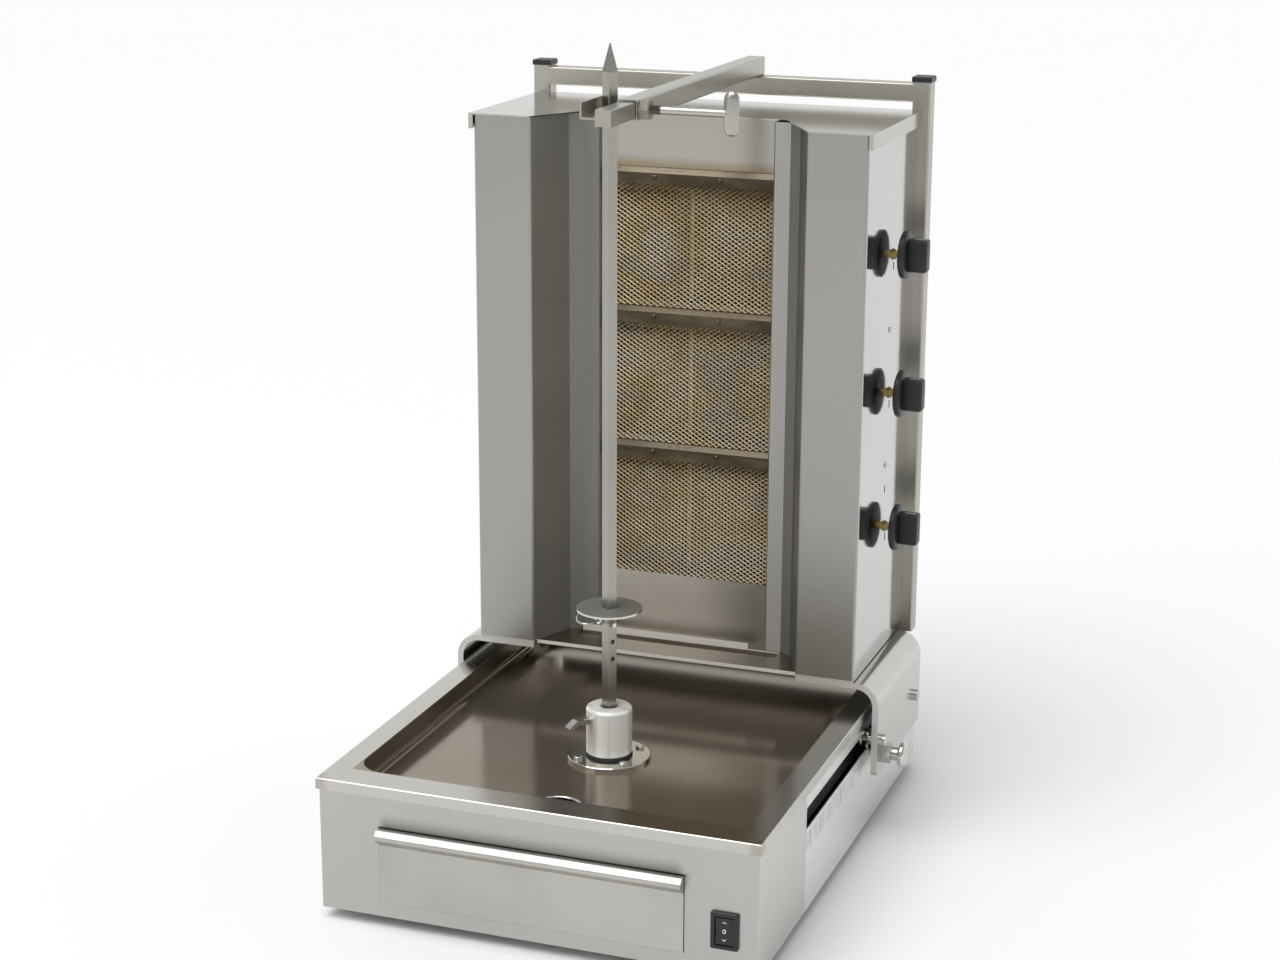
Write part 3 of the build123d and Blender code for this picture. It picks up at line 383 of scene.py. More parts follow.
@dataclass(frozen=True)
class Steel:
    """Bare stainless steel, brushed or polished."""

    name: str
    tone: Colour
    roughness: float
    grain: Grain
    grain_depth: float = 0.05
    smear_depth: float = 0.04
    relief: float = 0.02
    cloud_cells: float = CLOUD_CELLS
    dull: float = 0.92
    bright: float = 1.05
    shade: float = 0.0
    shade_half: float = 90.0 * MM

    def material(self) -> bpy.types.Material:
        """Build the finish, with painted shade darkening it towards the right where it has a shade."""
        sheet = ShaderSheet(self.name)
        grain = sheet.grain(self.grain)
        smear = sheet.noise(SMEAR_CELLS, SMEAR_DETAIL)
        dull, bright = scaled(self.tone, self.dull), scaled(self.tone, self.bright)
        tone = sheet.blend(sheet.clouds(self.cloud_cells), dull, bright)
        if self.shade > 0.0:
            shaded = sheet.axis("X").step(0.0, self.shade_half) * self.shade
            tone = sheet.blend(shaded, tone, PAINTED_SHADE_TONE)
        return sheet.surface(
            Base_Color=tone,
            Metallic=1.0,
            Roughness=self.roughness + grain.swing(self.grain_depth) + smear.swing(self.smear_depth),
            Normal=sheet.bump(grain, self.relief, SCRATCH_HEIGHT),
        )


@dataclass(frozen=True)
class FacetSteel:
    """Steel with painted light and shade: faces square to one axis, and those that look down, take their own
    tones.
    """

    name: str
    axis: str
    tone: Colour
    roughness: float
    square_tone: Colour
    square_roughness: float
    square_metal: float
    under: Colour
    grain: Grain
    wear: float = 0.12
    mottle: float = 0.03
    relief: float = 0.01

    def material(self) -> bpy.types.Material:
        """Build the finish."""
        sheet = ShaderSheet(self.name)
        square = sheet.facing(self.axis)
        grain = sheet.grain(self.grain)
        smear = sheet.noise(SMEAR_CELLS, SMEAR_DETAIL)
        # Painted light and shade: each face's tone follows which way it looks.
        upper = sheet.blend(square, self.tone, self.square_tone)
        tone = sheet.blend(sheet.normal("Z").step(*UNDER_EDGES), self.under, upper)
        rough = square.between(self.roughness, self.square_roughness)
        return sheet.surface(
            Base_Color=sheet.blend(sheet.clouds() * self.wear, tone, WORN_TONE),
            Metallic=square.between(1.0, self.square_metal),
            Roughness=rough + grain.swing(self.mottle) + smear.swing(self.mottle),
            Normal=sheet.bump(grain, self.relief, SCRATCH_HEIGHT),
        )


@dataclass(frozen=True)
class ShellSteel:
    """Casing of the tower: glossy sides, satin cheeks, and duller wings and columns by the burners, in tones
    of painted light and shade.
    """

    name: str
    side: Colour
    cheek: Colour
    wing: Colour
    column: Colour
    cheek_inner: float
    side_roughness: float = 0.09
    cheek_roughness: float = 0.36
    roughness: float = 0.42
    inner_metal: float = 0.4
    fold_share: float = 0.27
    wear: float = 0.1
    smear_cells: float = 24.0
    grain_depth: float = 0.02
    smear_depth: float = 0.03
    relief: float = 0.003
    front_edges: Edges = (-0.9, -0.95)

    def material(self) -> bpy.types.Material:
        """Build the finish."""
        sheet = ShaderSheet(self.name)
        square_x = sheet.facing("X")
        square_y = sheet.normal("Y").step(*self.front_edges)
        across = sheet.axis("X")
        outer = (across * across).step((self.cheek_inner - MM) ** 2, (self.cheek_inner + MM) ** 2)
        grain = sheet.grain(Grain.Z)
        smear = sheet.noise(self.smear_cells, SMEAR_DETAIL)
        # Painted light and shade: inner faces that look to the front, to the side, or between take their own
        # tones.
        fold = tuple(w + self.fold_share * (c - w) for w, c in zip(self.wing, self.column))
        inner = sheet.blend(square_y, sheet.blend(square_x, fold, self.wing), self.column)
        tone = sheet.blend(outer, inner, sheet.blend(square_x, self.cheek, self.side))
        rough = outer.between(self.roughness, square_x.between(self.cheek_roughness, self.side_roughness))
        return sheet.surface(
            Base_Color=sheet.blend(sheet.clouds() * self.wear, tone, WORN_TONE),
            Metallic=outer.between(self.inner_metal, 1.0),
            Roughness=rough + grain.swing(self.grain_depth) + smear.swing(self.smear_depth),
            Normal=sheet.bump(grain, self.relief, SCRATCH_HEIGHT),
        )


@dataclass(frozen=True)
class FrontSteel:
    """Brushed front sheet, with a painted dark reflection of the drawer's lip in a band over the lip, and
    painted light on its side faces.
    """

    name: str
    tone: Colour
    roughness: float
    lip_left: float
    lip_right: float
    lip_top: float
    band: float = 18.0 * MM
    band_below: float = 3.6 * MM
    lip_reflection_depth: float = 0.85
    lip_reflection_share: float = 0.30
    side_light_share: float = 1.22
    dull_share: float = 0.95
    end_in: float = 8.0 * MM
    end_out: float = 2.0 * MM
    lip_drop: float = 6.0 * MM
    cloud_cells: float = 5.0
    grain_depth: float = 0.05
    relief: float = 0.02

    def material(self) -> bpy.types.Material:
        """Build the finish."""
        sheet = ShaderSheet(self.name)
        height = sheet.axis("Z")
        # Painted reflection: a dark band that fades up from the drawer's lip stands for the lip's reflection.
        fade = 1.0 - height.step(self.lip_top - self.band_below, self.lip_top + self.band)
        soft = self.end_in + self.end_out
        left, right = self.lip_left - self.end_out, self.lip_right + self.end_out
        ends = sheet.axis("X").within(left, right, soft, soft)
        above = height.step(self.lip_top - self.lip_drop, self.lip_top - self.lip_drop + MM)
        grain = sheet.grain(Grain.X)
        dull = scaled(self.tone, self.dull_share)
        front = sheet.blend(sheet.clouds(self.cloud_cells), dull, self.tone)
        # Painted light: faces square to X are made lighter.
        plain = sheet.blend(sheet.facing("X"), front, scaled(self.tone, self.side_light_share))
        lip_reflection_tone = scaled(self.tone, self.lip_reflection_share)
        return sheet.surface(
            Base_Color=sheet.blend(fade * ends * above * self.lip_reflection_depth, plain, lip_reflection_tone),
            Metallic=1.0,
            Roughness=self.roughness + grain.swing(self.grain_depth),
            Normal=sheet.bump(grain, self.relief, SCRATCH_HEIGHT),
        )


@dataclass(frozen=True)
class ReflectorSteel:
    """Reflector sheet, tinted brown along the edge that meets a burner."""

    name: str
    tone: Colour
    tint: Colour
    roughness: float
    edge: float
    reach: float
    heat: float = 0.85
    ragged_cells: float = 30.0
    ragged_share: float = 0.6
    cloud_cells: float = 7.0
    cloud_depth: float = 0.08
    grain_depth: float = 0.05
    relief: float = 0.02

    def material(self) -> bpy.types.Material:
        """Build the finish."""
        sheet = ShaderSheet(self.name)
        ragged = sheet.noise(self.ragged_cells, BROAD_DETAIL).swing(self.ragged_share * self.reach)
        cool = (sheet.axis("Z") + ragged).step(self.edge, self.edge + self.reach)
        grain = sheet.grain(Grain.Z)
        cloud = sheet.noise(self.cloud_cells, BROAD_DETAIL)
        return sheet.surface(
            Base_Color=sheet.blend((1.0 - cool) * self.heat, self.tone, self.tint),
            Metallic=1.0,
            Roughness=self.roughness + grain.swing(self.grain_depth) + cloud.swing(self.cloud_depth),
            Normal=sheet.bump(grain, self.relief, SCRATCH_HEIGHT),
        )


@dataclass(frozen=True)
class LipSteel:
    """Burner case: straw-coloured ledges and brown, baked faces."""

    name: str
    ledge: Colour
    face: Colour
    baked: Colour
    roughness: float
    patch_cells: float = 24.0
    patch_stretch: Point = (0.6, 1.0, 2.0)
    patch_edges: Edges = (0.36, 0.66)
    patch_dull: float = 0.12
    speck_cells: float = 190.0
    speck_edges: Edges = (0.6, 0.7)
    speck_depth: float = 0.5
    ledge_edges: Edges = (0.2, 0.6)
    metallic: float = 0.85

    def material(self) -> bpy.types.Material:
        """Build the finish."""
        sheet = ShaderSheet(self.name)
        patches = sheet.noise(self.patch_cells, SMEAR_DETAIL, self.patch_stretch).step(*self.patch_edges)
        specks = sheet.noise(self.speck_cells, BROAD_DETAIL).step(*self.speck_edges)
        front = sheet.blend(patches, self.face, self.baked)
        tone = sheet.blend(sheet.normal("Z").step(*self.ledge_edges), front, self.ledge)
        return sheet.surface(
            Base_Color=sheet.blend(specks * self.speck_depth, tone, self.baked),
            Metallic=self.metallic,
            Roughness=self.roughness + patches * self.patch_dull,
        )


@dataclass(frozen=True)
class RubbedSteel:
    """Side sheet of the base, rubbed bare by the bracket in a band under its slot."""

    name: str
    tone: Colour
    roughness: float
    band_low: float
    band_high: float
    band_front: float
    band_rear: float
    stroke_tone: Colour = (0.24, 0.23, 0.21)
    stroke_depth: float = 0.6
    stroke_cells: float = 520.0
    stroke_stretch: Point = (1.0, 1.0, 0.06)
    stroke_edges: Edges = (0.42, 0.7)
    stroke_dull: float = 0.2
    grain_cells: float = 700.0
    grain_depth: float = 0.04
    relief: float = 0.015
    dull_share: float = 0.94
    edge: float = 2.0 * MM
    front_fade: float = 4.0 * MM
    rear_fade: float = 10.0 * MM

    def material(self) -> bpy.types.Material:
        """Build the finish."""
        sheet = ShaderSheet(self.name)
        tall = sheet.axis("Z").within(self.band_low, self.band_high, self.edge, self.edge)
        deep = sheet.axis("Y").within(self.band_front, self.band_rear, self.front_fade, self.rear_fade)
        rubbed = sheet.noise(self.stroke_cells, FINE_DETAIL, self.stroke_stretch)
        strokes = rubbed.step(*self.stroke_edges) * (tall * deep)
        grain = sheet.grain(Grain.Y, self.grain_cells)
        plain = sheet.blend(sheet.clouds(), scaled(self.tone, self.dull_share), self.tone)
        return sheet.surface(
            Base_Color=sheet.blend(strokes * self.stroke_depth, plain, self.stroke_tone),
            Metallic=1.0,
            Roughness=self.roughness + grain.swing(self.grain_depth) + strokes * self.stroke_dull,
            Normal=sheet.bump(grain, self.relief, SCRATCH_HEIGHT),
        )


@dataclass(frozen=True)
class PanSteel:
    """Drawn pan: bright rim, and a duller tub with a thin film of old fat round the spit."""

    name: str
    rim: Colour
    tone: Colour
    film: Colour
    rim_roughness: float
    roughness: float
    spit_x: float
    spit_y: float
    film_radius: float
    corner_x: float
    corner_y: float
    rim_width: float = 24.0 * MM
    rim_depth: float = 33.0 * MM
    rim_edge: float = 0.5 * MM
    weld_radius: float = 16.0 * MM
    weld_cells: float = 60.0
    weld_depth: float = 0.35
    film_depth: float = 0.4
    film_edges: Edges = (0.25, 0.8)
    film_dull: float = 0.1
    tub_tarnish: float = 0.22
    cloud_cells: float = 7.0
    cloud_depth: float = 0.06
    grain_cells: float = 500.0
    grain_depth: float = 0.03
    wipe_cells: float = 9.0
    wipe_stretch: Point = (1.0, 0.25, 1.0)
    wipe_height: float = 2.0 * MM
    wipe_relief: float = 0.025

    def material(self) -> bpy.types.Material:
        """Build the finish."""
        sheet = ShaderSheet(self.name)
        side_x = sheet.absolute("X") - self.corner_x
        side_y = sheet.absolute("Y") - self.corner_y
        ragged = sheet.noise(self.weld_cells, BROAD_DETAIL).swing(2.0 * self.weld_radius**2)
        weld = 1.0 - (side_x * side_x + side_y * side_y + ragged).step(0.0, self.weld_radius**2)
        rim_x, rim_y = (
            (side + width).step(-self.rim_edge, self.rim_edge)
            for side, width in ((side_x, self.rim_width), (side_y, self.rim_depth))
        )
        tub = (1.0 - rim_x) * (1.0 - rim_y)
        away_x = sheet.axis("X") - self.spit_x
        away_y = sheet.axis("Y") - self.spit_y
        near = 1.0 - (away_x * away_x + away_y * away_y).step(0.0, self.film_radius**2)
        patches = sheet.noise(self.wipe_cells, BROAD_DETAIL).step(*self.film_edges)
        film = near * patches * self.film_depth
        tone = sheet.blend(tub, self.rim, self.tone)
        cloud = sheet.noise(self.cloud_cells, SMEAR_DETAIL)
        grain = sheet.grain(Grain.X, self.grain_cells)
        wipe = sheet.noise(self.wipe_cells, BROAD_DETAIL, self.wipe_stretch)
        rough = tub.between(self.rim_roughness, self.roughness) + film * self.film_dull
        return sheet.surface(
            Base_Color=sheet.blend(film + weld * self.weld_depth, tone, self.film),
            Metallic=1.0 - tub * self.tub_tarnish,
            Roughness=rough + cloud.swing(self.cloud_depth) + grain.swing(self.grain_depth),
            Normal=sheet.bump(wipe, self.wipe_relief, self.wipe_height),
        )


@dataclass(frozen=True)
class HeatTint:
    """Stainless that the burners have tinted straw, brown and blue."""

    name: str
    pale: Colour
    straw: Colour
    brown: Colour
    blue: Colour
    roughness: float
    cells: float
    stretch: Point = (1.0, 1.0, 1.3)
    stops: tuple[float, ...] = (0.32, 0.48, 0.6, 0.74)
    bloom_share: float = 0.8
    bloom_stretch: Point = (1.0, 1.0, 1.6)
    bloom_edges: Edges = (0.56, 0.7)
    bloom_depth: float = 0.6
    speck_cells: float = 260.0
    speck_depth: float = 0.2
    metallic: float = 0.9

    def material(self) -> bpy.types.Material:
        """Build the finish."""
        sheet = ShaderSheet(self.name)
        heat = sheet.noise(self.cells, FINE_DETAIL, self.stretch)
        stops = tuple(zip(self.stops, (self.pale, self.straw, self.brown, self.pale)))
        tint = sheet.add("ShaderNodeValToRGB", {"stops": stops}, {"Fac": heat})
        bloom = sheet.noise(self.cells * self.bloom_share, 1.0, self.bloom_stretch).step(*self.bloom_edges)
        speck = sheet.noise(self.speck_cells, FINE_DETAIL)
        return sheet.surface(
            Base_Color=sheet.blend(bloom * self.bloom_depth, tint, self.blue),
            Metallic=self.metallic,
            Roughness=self.roughness + speck.swing(self.speck_depth),
        )


@dataclass(frozen=True)
class Ceramic:
    """Porous burner tile, browned by use."""

    name: str
    clean: Colour
    browned: Colour
    pores_per_metre: float
    pore_tone: Colour = (0.03, 0.022, 0.014)
    pore_edges: Edges = (0.1, 0.42)
    pore_spread: float = 0.15
    pore_depth: float = 0.6 * MM
    relief: float = 0.4
    burnt_cells: float = 16.0
    burnt_edges: Edges = (0.35, 0.65)
    roughness: float = 0.92

    def material(self) -> bpy.types.Material:
        """Build the finish."""
        sheet = ShaderSheet(self.name)
        layout = {"Scale": self.pores_per_metre, "Randomness": self.pore_spread}
        cells = sheet.add("ShaderNodeTexVoronoi", {}, layout, "Distance")
        pores = cells.step(*self.pore_edges)
        burnt = sheet.noise(self.burnt_cells, BROAD_DETAIL).step(*self.burnt_edges)
        body = sheet.blend(burnt, self.clean, self.browned)
        return sheet.surface(
            Base_Color=sheet.blend(pores, self.pore_tone, body),
            Roughness=self.roughness,
            Normal=sheet.bump(pores, self.relief, self.pore_depth),
        )


@dataclass(frozen=True)
class Plain:
    """Moulded plastic, rubber, paint or brass with a fine mottle."""

    name: str
    tone: Colour
    roughness: float
    metallic: float = 0.0
    fine_cells: float = 180.0
    broad_cells: float = 22.0
    mottle: float = 0.12
    rough_mottle: float = 0.14
    relief: float = 0.08
    relief_height: float = 0.3 * MM

    def material(self) -> bpy.types.Material:
        """Build the finish."""
        sheet = ShaderSheet(self.name)
        fine = sheet.noise(self.fine_cells, BROAD_DETAIL)
        low, high = (scaled(self.tone, 1.0 + share) for share in (-self.mottle, self.mottle))
        return sheet.surface(
            Base_Color=sheet.blend(sheet.clouds(self.broad_cells), low, high),
            Metallic=self.metallic,
            Roughness=self.roughness + fine.swing(self.rough_mottle),
            Normal=sheet.bump(fine, self.relief, self.relief_height),
        )


@dataclass(frozen=True)
class TurnedAlloy:
    """Polished alloy with bright and dull stripes down its side, painted reflections."""

    name: str
    dull: Colour
    bright: Colour
    roughness: float
    metallic: float
    stripe_cells: float = 95.0
    stripe_stretch: Point = (1.0, 1.0, 0.04)
    stripe_edges: Edges = (0.36, 0.58)
    grain_cells: float = 700.0
    grain_depth: float = 0.06

    def material(self) -> bpy.types.Material:
        """Build the finish."""
        sheet = ShaderSheet(self.name)
        # Painted reflection: vertical bright and dull bands.
        reflection_stripes = sheet.noise(self.stripe_cells, 1.0, self.stripe_stretch).step(*self.stripe_edges)
        grain = sheet.grain(Grain.Z, self.grain_cells)
        return sheet.surface(
            Base_Color=sheet.blend(reflection_stripes, self.dull, self.bright),
            Metallic=self.metallic,
            Roughness=self.roughness + grain.swing(self.grain_depth),
        )


class FinishShelf:
    """All finishes of the object, each built once."""

    cheek_width: float = 64.5 * MM
    rub_height: float = 22.0 * MM
    heat_reach: float = 14.0 * MM
    film_radius: float = 240.0 * MM

    def __init__(self) -> None:
        """Build every finish."""
        finishes = (*self._sheets(), *self._shells(), *self._parts(), *self._plain())
        self.materials = {finish.name: finish.material() for finish in finishes}
        LOG.info("%d finishes", len(self.materials))

    def _sheets(self) -> tuple[Any, ...]:
        """Finishes of the base and of the sheets between the shells."""
        slot_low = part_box("guide_bolts")[0].z
        lip_low, lip_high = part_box("drawer_front")
        pan_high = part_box("drip_pan")[1]
        spit = centre("hub")
        return (
            FrontSteel("steel_front", (0.50, 0.493, 0.475), 0.33, lip_low.x, lip_high.x, lip_high.z),
            Steel("steel_drawer", (0.50, 0.487, 0.455), 0.36, Grain.X, cloud_cells=9.0),
            Steel("steel_casing", (0.50, 0.493, 0.475), 0.30, Grain.X),
            Steel("steel_cover", (0.47, 0.455, 0.42), 0.14, Grain.Y, 0.03, 0.03, 0.01),
            # Painted shade: the lower reflector darkens towards the right.
            Steel("steel_reflector", (0.72, 0.69, 0.635), 0.33, Grain.Z, 0.03, 0.02, 0.0, shade=0.62),
            Steel("steel_shade", (0.30, 0.27, 0.22), 0.4, Grain.X),
            # Painted reflection: the upper reflector is set darker than the lower one for the dark things it
            # reflects.
            ReflectorSteel(
                "steel_upper_reflector",
                tone=(0.40, 0.388, 0.352),
                tint=(0.28, 0.22, 0.135),
                roughness=0.17,
                edge=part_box("upper_reflector")[0].z,
                reach=self.heat_reach,
            ),
            # Painted light: the side sheets carry a much lighter tone than the other casing sheets.
            RubbedSteel(
                "steel_base_side",
                tone=(0.80, 0.795, 0.78),
                roughness=0.28,
                band_low=slot_low - self.rub_height,
                band_high=slot_low - MM,
                band_front=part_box("base_front_panel")[1].y,
                band_rear=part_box("bracket_right")[0].y,
            ),
            PanSteel(
                "steel_pan",
                rim=(0.56, 0.545, 0.51),
                tone=(0.285, 0.247, 0.195),
                film=(0.20, 0.16, 0.105),
                rim_roughness=0.22,
                roughness=0.13,
                spit_x=spit.x,
                spit_y=spit.y,
                film_radius=self.film_radius,
                corner_x=pan_high.x,
                corner_y=pan_high.y,
            ),
        )

    def _shells(self) -> tuple[Any, ...]:
        """Finishes of the two shells of the tower, lit and shaded copies: the right one's wing has painted
        shade and its columns painted light.
        """
        cheek_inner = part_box("tower_shell_right")[1].x - self.cheek_width
        side, cheek = (0.53, 0.52, 0.51), (0.385, 0.378, 0.36)
        lit_and_shaded_insides = {
            "steel_shell_left": ((0.235, 0.227, 0.21), (0.215, 0.208, 0.193)),
            "steel_shell_right": ((0.07, 0.067, 0.06), (0.42, 0.41, 0.39)),
        }
        return tuple(
            ShellSteel(name, side, cheek, wing, column, cheek_inner)
            for name, (wing, column) in lit_and_shaded_insides.items()
        )

    def _parts(self) -> tuple[Any, ...]:
        """Finishes of bars, plates, turned pieces and burners."""
        return (
            Steel("steel_tube", (0.43, 0.418, 0.378), 0.32, Grain.Y),
            Steel("steel_post", (0.45, 0.435, 0.39), 0.34, Grain.Z),
            Steel("steel_bar", (0.38, 0.367, 0.333), 0.28, Grain.Z),
            Steel("steel_handle", (0.47, 0.455, 0.42), 0.24, Grain.Y),
            Steel("steel_disc", (0.62, 0.60, 0.545), 0.13, Grain.X),
            Steel("steel_turned", (0.66, 0.65, 0.62), 0.15, Grain.X),
            TurnedAlloy("hub_alloy", (0.80, 0.79, 0.76), (1.0, 0.99, 0.965), 0.24, 0.28),
            # Painted light on the faces that look to the front; the underside takes its own tone for its
            # reflection in the pan.
            FacetSteel(
                "steel_floor",
                axis="Y",
                tone=(0.37, 0.342, 0.295),
                roughness=0.26,
                square_tone=(0.80, 0.77, 0.71),
                square_roughness=0.42,
                square_metal=0.3,
                under=(0.45, 0.40, 0.33),
                grain=Grain.X,
            ),
            # Painted shade on the faces that look down.
            FacetSteel(
                "steel_plate",
                axis="Y",
                tone=(0.58, 0.57, 0.545),
                roughness=0.20,
                square_tone=(0.58, 0.57, 0.545),
                square_roughness=0.42,
                square_metal=0.4,
                under=(0.26, 0.23, 0.185),
                grain=Grain.Y,
            ),
            # Painted highlight on the rim; the faces that look up and down are darker.
            FacetSteel(
                "steel_meat_disc",
                axis="Z",
                tone=(0.66, 0.65, 0.62),
                roughness=0.2,
                square_tone=(0.215, 0.209, 0.19),
                square_roughness=0.38,
                square_metal=0.3,
                under=(0.20, 0.19, 0.17),
                grain=Grain.X,
            ),
            HeatTint(
                "burner_wire",
                pale=(0.84, 0.76, 0.61),
                straw=(0.89, 0.745, 0.50),
                brown=(0.78, 0.61, 0.35),
                blue=(0.62, 0.62, 0.58),
                roughness=0.33,
                cells=15.0,
            ),
            LipSteel("burner_lip", (0.29, 0.248, 0.19), (0.12, 0.096, 0.062), (0.065, 0.05, 0.03), 0.34),
            Ceramic("burner_tile", (0.13, 0.105, 0.07), (0.07, 0.052, 0.03), 420.0),
        )

    @staticmethod
    def _plain() -> tuple[Any, ...]:
        """Finishes of one even tone."""
        return (
            Plain("tile_gasket", (0.36, 0.32, 0.25), 0.9),
            Plain("black_plastic", (0.012, 0.012, 0.013), 0.42),
            Plain("black_rubber", (0.015, 0.015, 0.015), 0.65),
            Plain("white_print", (0.80, 0.80, 0.78), 0.6),
            Plain("brass", (0.40, 0.30, 0.12), 0.32, 1.0),
            Plain("drive_paint", (0.20, 0.21, 0.22), 0.5),
            Plain("blackened_steel", (0.13, 0.12, 0.10), 0.36, 1.0),
            # Painted shade: the dark brown of the rail skirt behind the air slot.
            Plain("painted_shade_brown", (0.10, 0.082, 0.055), 0.55),
            Plain("nut_steel", (0.27, 0.258, 0.225), 0.6, 0.1),
            Plain("inner_sheet", (0.40, 0.39, 0.36), 0.5, 0.3),
        )

    def __getitem__(self, name: str) -> bpy.types.Material:
        """One finish by name."""
        return self.materials[name]

    def dress(self) -> None:
        """Give every CAD node that shows its finish."""
        for name, nodes in DRESSING.items():
            for node in nodes:
                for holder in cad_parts[node].material_slots:
                    holder.material = self.materials[name]
            LOG.info("%s on %d nodes", name, len(nodes))


class Draft:
    """A bmesh under work that becomes one named piece."""

    def __init__(self, name: str) -> None:
        """Start an empty mesh.

        Args:
            name: the piece's name.
        """
        self.name = name
        self.mesh = bmesh.new()

    def since(self, before: set[bmesh.types.BMVert]) -> list[bmesh.types.BMVert]:
        """Vertices that the mesh did not hold before."""
        return [vert for vert in self.mesh.verts if vert not in before]

    def box(self, low: Sequence[float], high: Sequence[float], bevel: float = 0.0, segments: int = 3) -> None:
        """Add a box with rounded edges.

        Args:
            low: lowest corner in metres.
            high: highest corner in metres.
            bevel: size of the rounding in metres.
            segments: faces across the rounding.
        """
        low, high = Vector(low), Vector(high)
        verts = bmesh.ops.create_cube(self.mesh, size=1.0)["verts"]
        bmesh.ops.scale(self.mesh, vec=high - low, verts=verts)
        bmesh.ops.translate(self.mesh, vec=(low + high) / 2, verts=verts)
        if bevel > 0.0:
            edges = list({edge for vert in verts for edge in vert.link_edges})
            bmesh.ops.bevel(
                self.mesh,
                geom=edges,
                offset=bevel,
                segments=segments,
                profile=0.5,
                affect="EDGES",
                material=-1,
            )

    def prism(
        self,
        foot: Sequence[float],
        along: Sequence[float],
        radius: float,
        length: float,
        sides: int,
    ) -> None:
        """Add a regular prism, such as a rod or the hexagon of a nut.

        Args:
            foot: centre of its first end in metres.
            along: direction of its length.
            radius: corner radius in metres.
            length: length in metres.
            sides: number of sides.
        """
        turn = Vector(along).to_track_quat("Z", "Y").to_matrix().to_4x4()
        middle = Matrix.Translation(Vector(foot) + Vector(along).normalized() * length / 2)
        bmesh.ops.create_cone(
            self.mesh,
            cap_ends=True,
            cap_tris=False,
            segments=sides,
            radius1=radius,
            radius2=radius,
            depth=length,
            matrix=middle @ turn,
        )

    def lathe(
        self,
        profile: Sequence[tuple[float, float]],
        foot: Sequence[float],
        along: Sequence[float],
        steps: int = 40,
    ) -> None:
        """Turn a profile about an axis.

        Args:
            profile: pairs of radius and height in metres, from the foot up.
            foot: origin of the profile in metres.
            along: direction of the axis.
            steps: faces round the axis.
        """
        before = set(self.mesh.verts)
        verts = [self.mesh.verts.new((radius, 0.0, height)) for radius, height in profile]
        edges = [self.mesh.edges.new(pair) for pair in zip(verts, verts[1:])]
        bmesh.ops.spin(
            self.mesh,
            geom=verts + edges,
            cent=(0.0, 0.0, 0.0),
            axis=(0.0, 0.0, 1.0),
            angle=math.tau,
            steps=steps,
            use_merge=True,
        )
        bmesh.ops.remove_doubles(self.mesh, verts=self.since(before), dist=1e-6)
        turn = Vector(along).to_track_quat("Z", "Y").to_matrix().to_4x4()
        place = Matrix.Translation(Vector(foot)) @ turn
        bmesh.ops.transform(self.mesh, matrix=place, verts=self.since(before))

    def dome(self, foot: Sequence[float], along: Sequence[float], radius: float, height: float) -> None:
        """Add a round screw head.

        Args:
            foot: centre of its seat in metres.
            along: direction that it stands out in.
            radius: radius in metres.
            height: height in metres.
        """
        quarter = [math.radians(angle) for angle in (0, 30, 60, 90)]
        rounded = [
            (radius * (0.55 + 0.45 * math.cos(angle)), height * (0.35 + 0.65 * math.sin(angle)))
            for angle in quarter
        ]
        self.lathe([(0.0, 0.0), (radius, 0.0), *rounded, (0.0, height)], foot, along, steps=20)

    def done(
        self,
        finish: bpy.types.Material,
        body: str,
        stands_for: Sequence[str] = (),
        smooth_deg: float = 38.0,
    ) -> None:
        """Make the piece and hang it on its body.

        Args:
            finish: its material.
            body: the CAD body that it rides on.
            stands_for: CAD nodes that it replaces.
            smooth_deg: faces that meet at less than this angle shade as one.
        """
        bmesh.ops.recalc_face_normals(self.mesh, faces=self.mesh.faces)
        data = bpy.data.meshes.new(self.name)
        self.mesh.to_mesh(data)
        self.mesh.free()
        data.materials.append(finish)
        data.shade_smooth()
        data.set_sharp_from_angle(angle=math.radians(smooth_deg))
        piece = bpy.data.objects.new(self.name, data)
        bpy.context.scene.collection.objects.link(piece)
        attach(piece, body)
        if stands_for:
            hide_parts(*stands_for)
        LOG.info("%s: %d faces on %s", self.name, len(data.polygons), body)


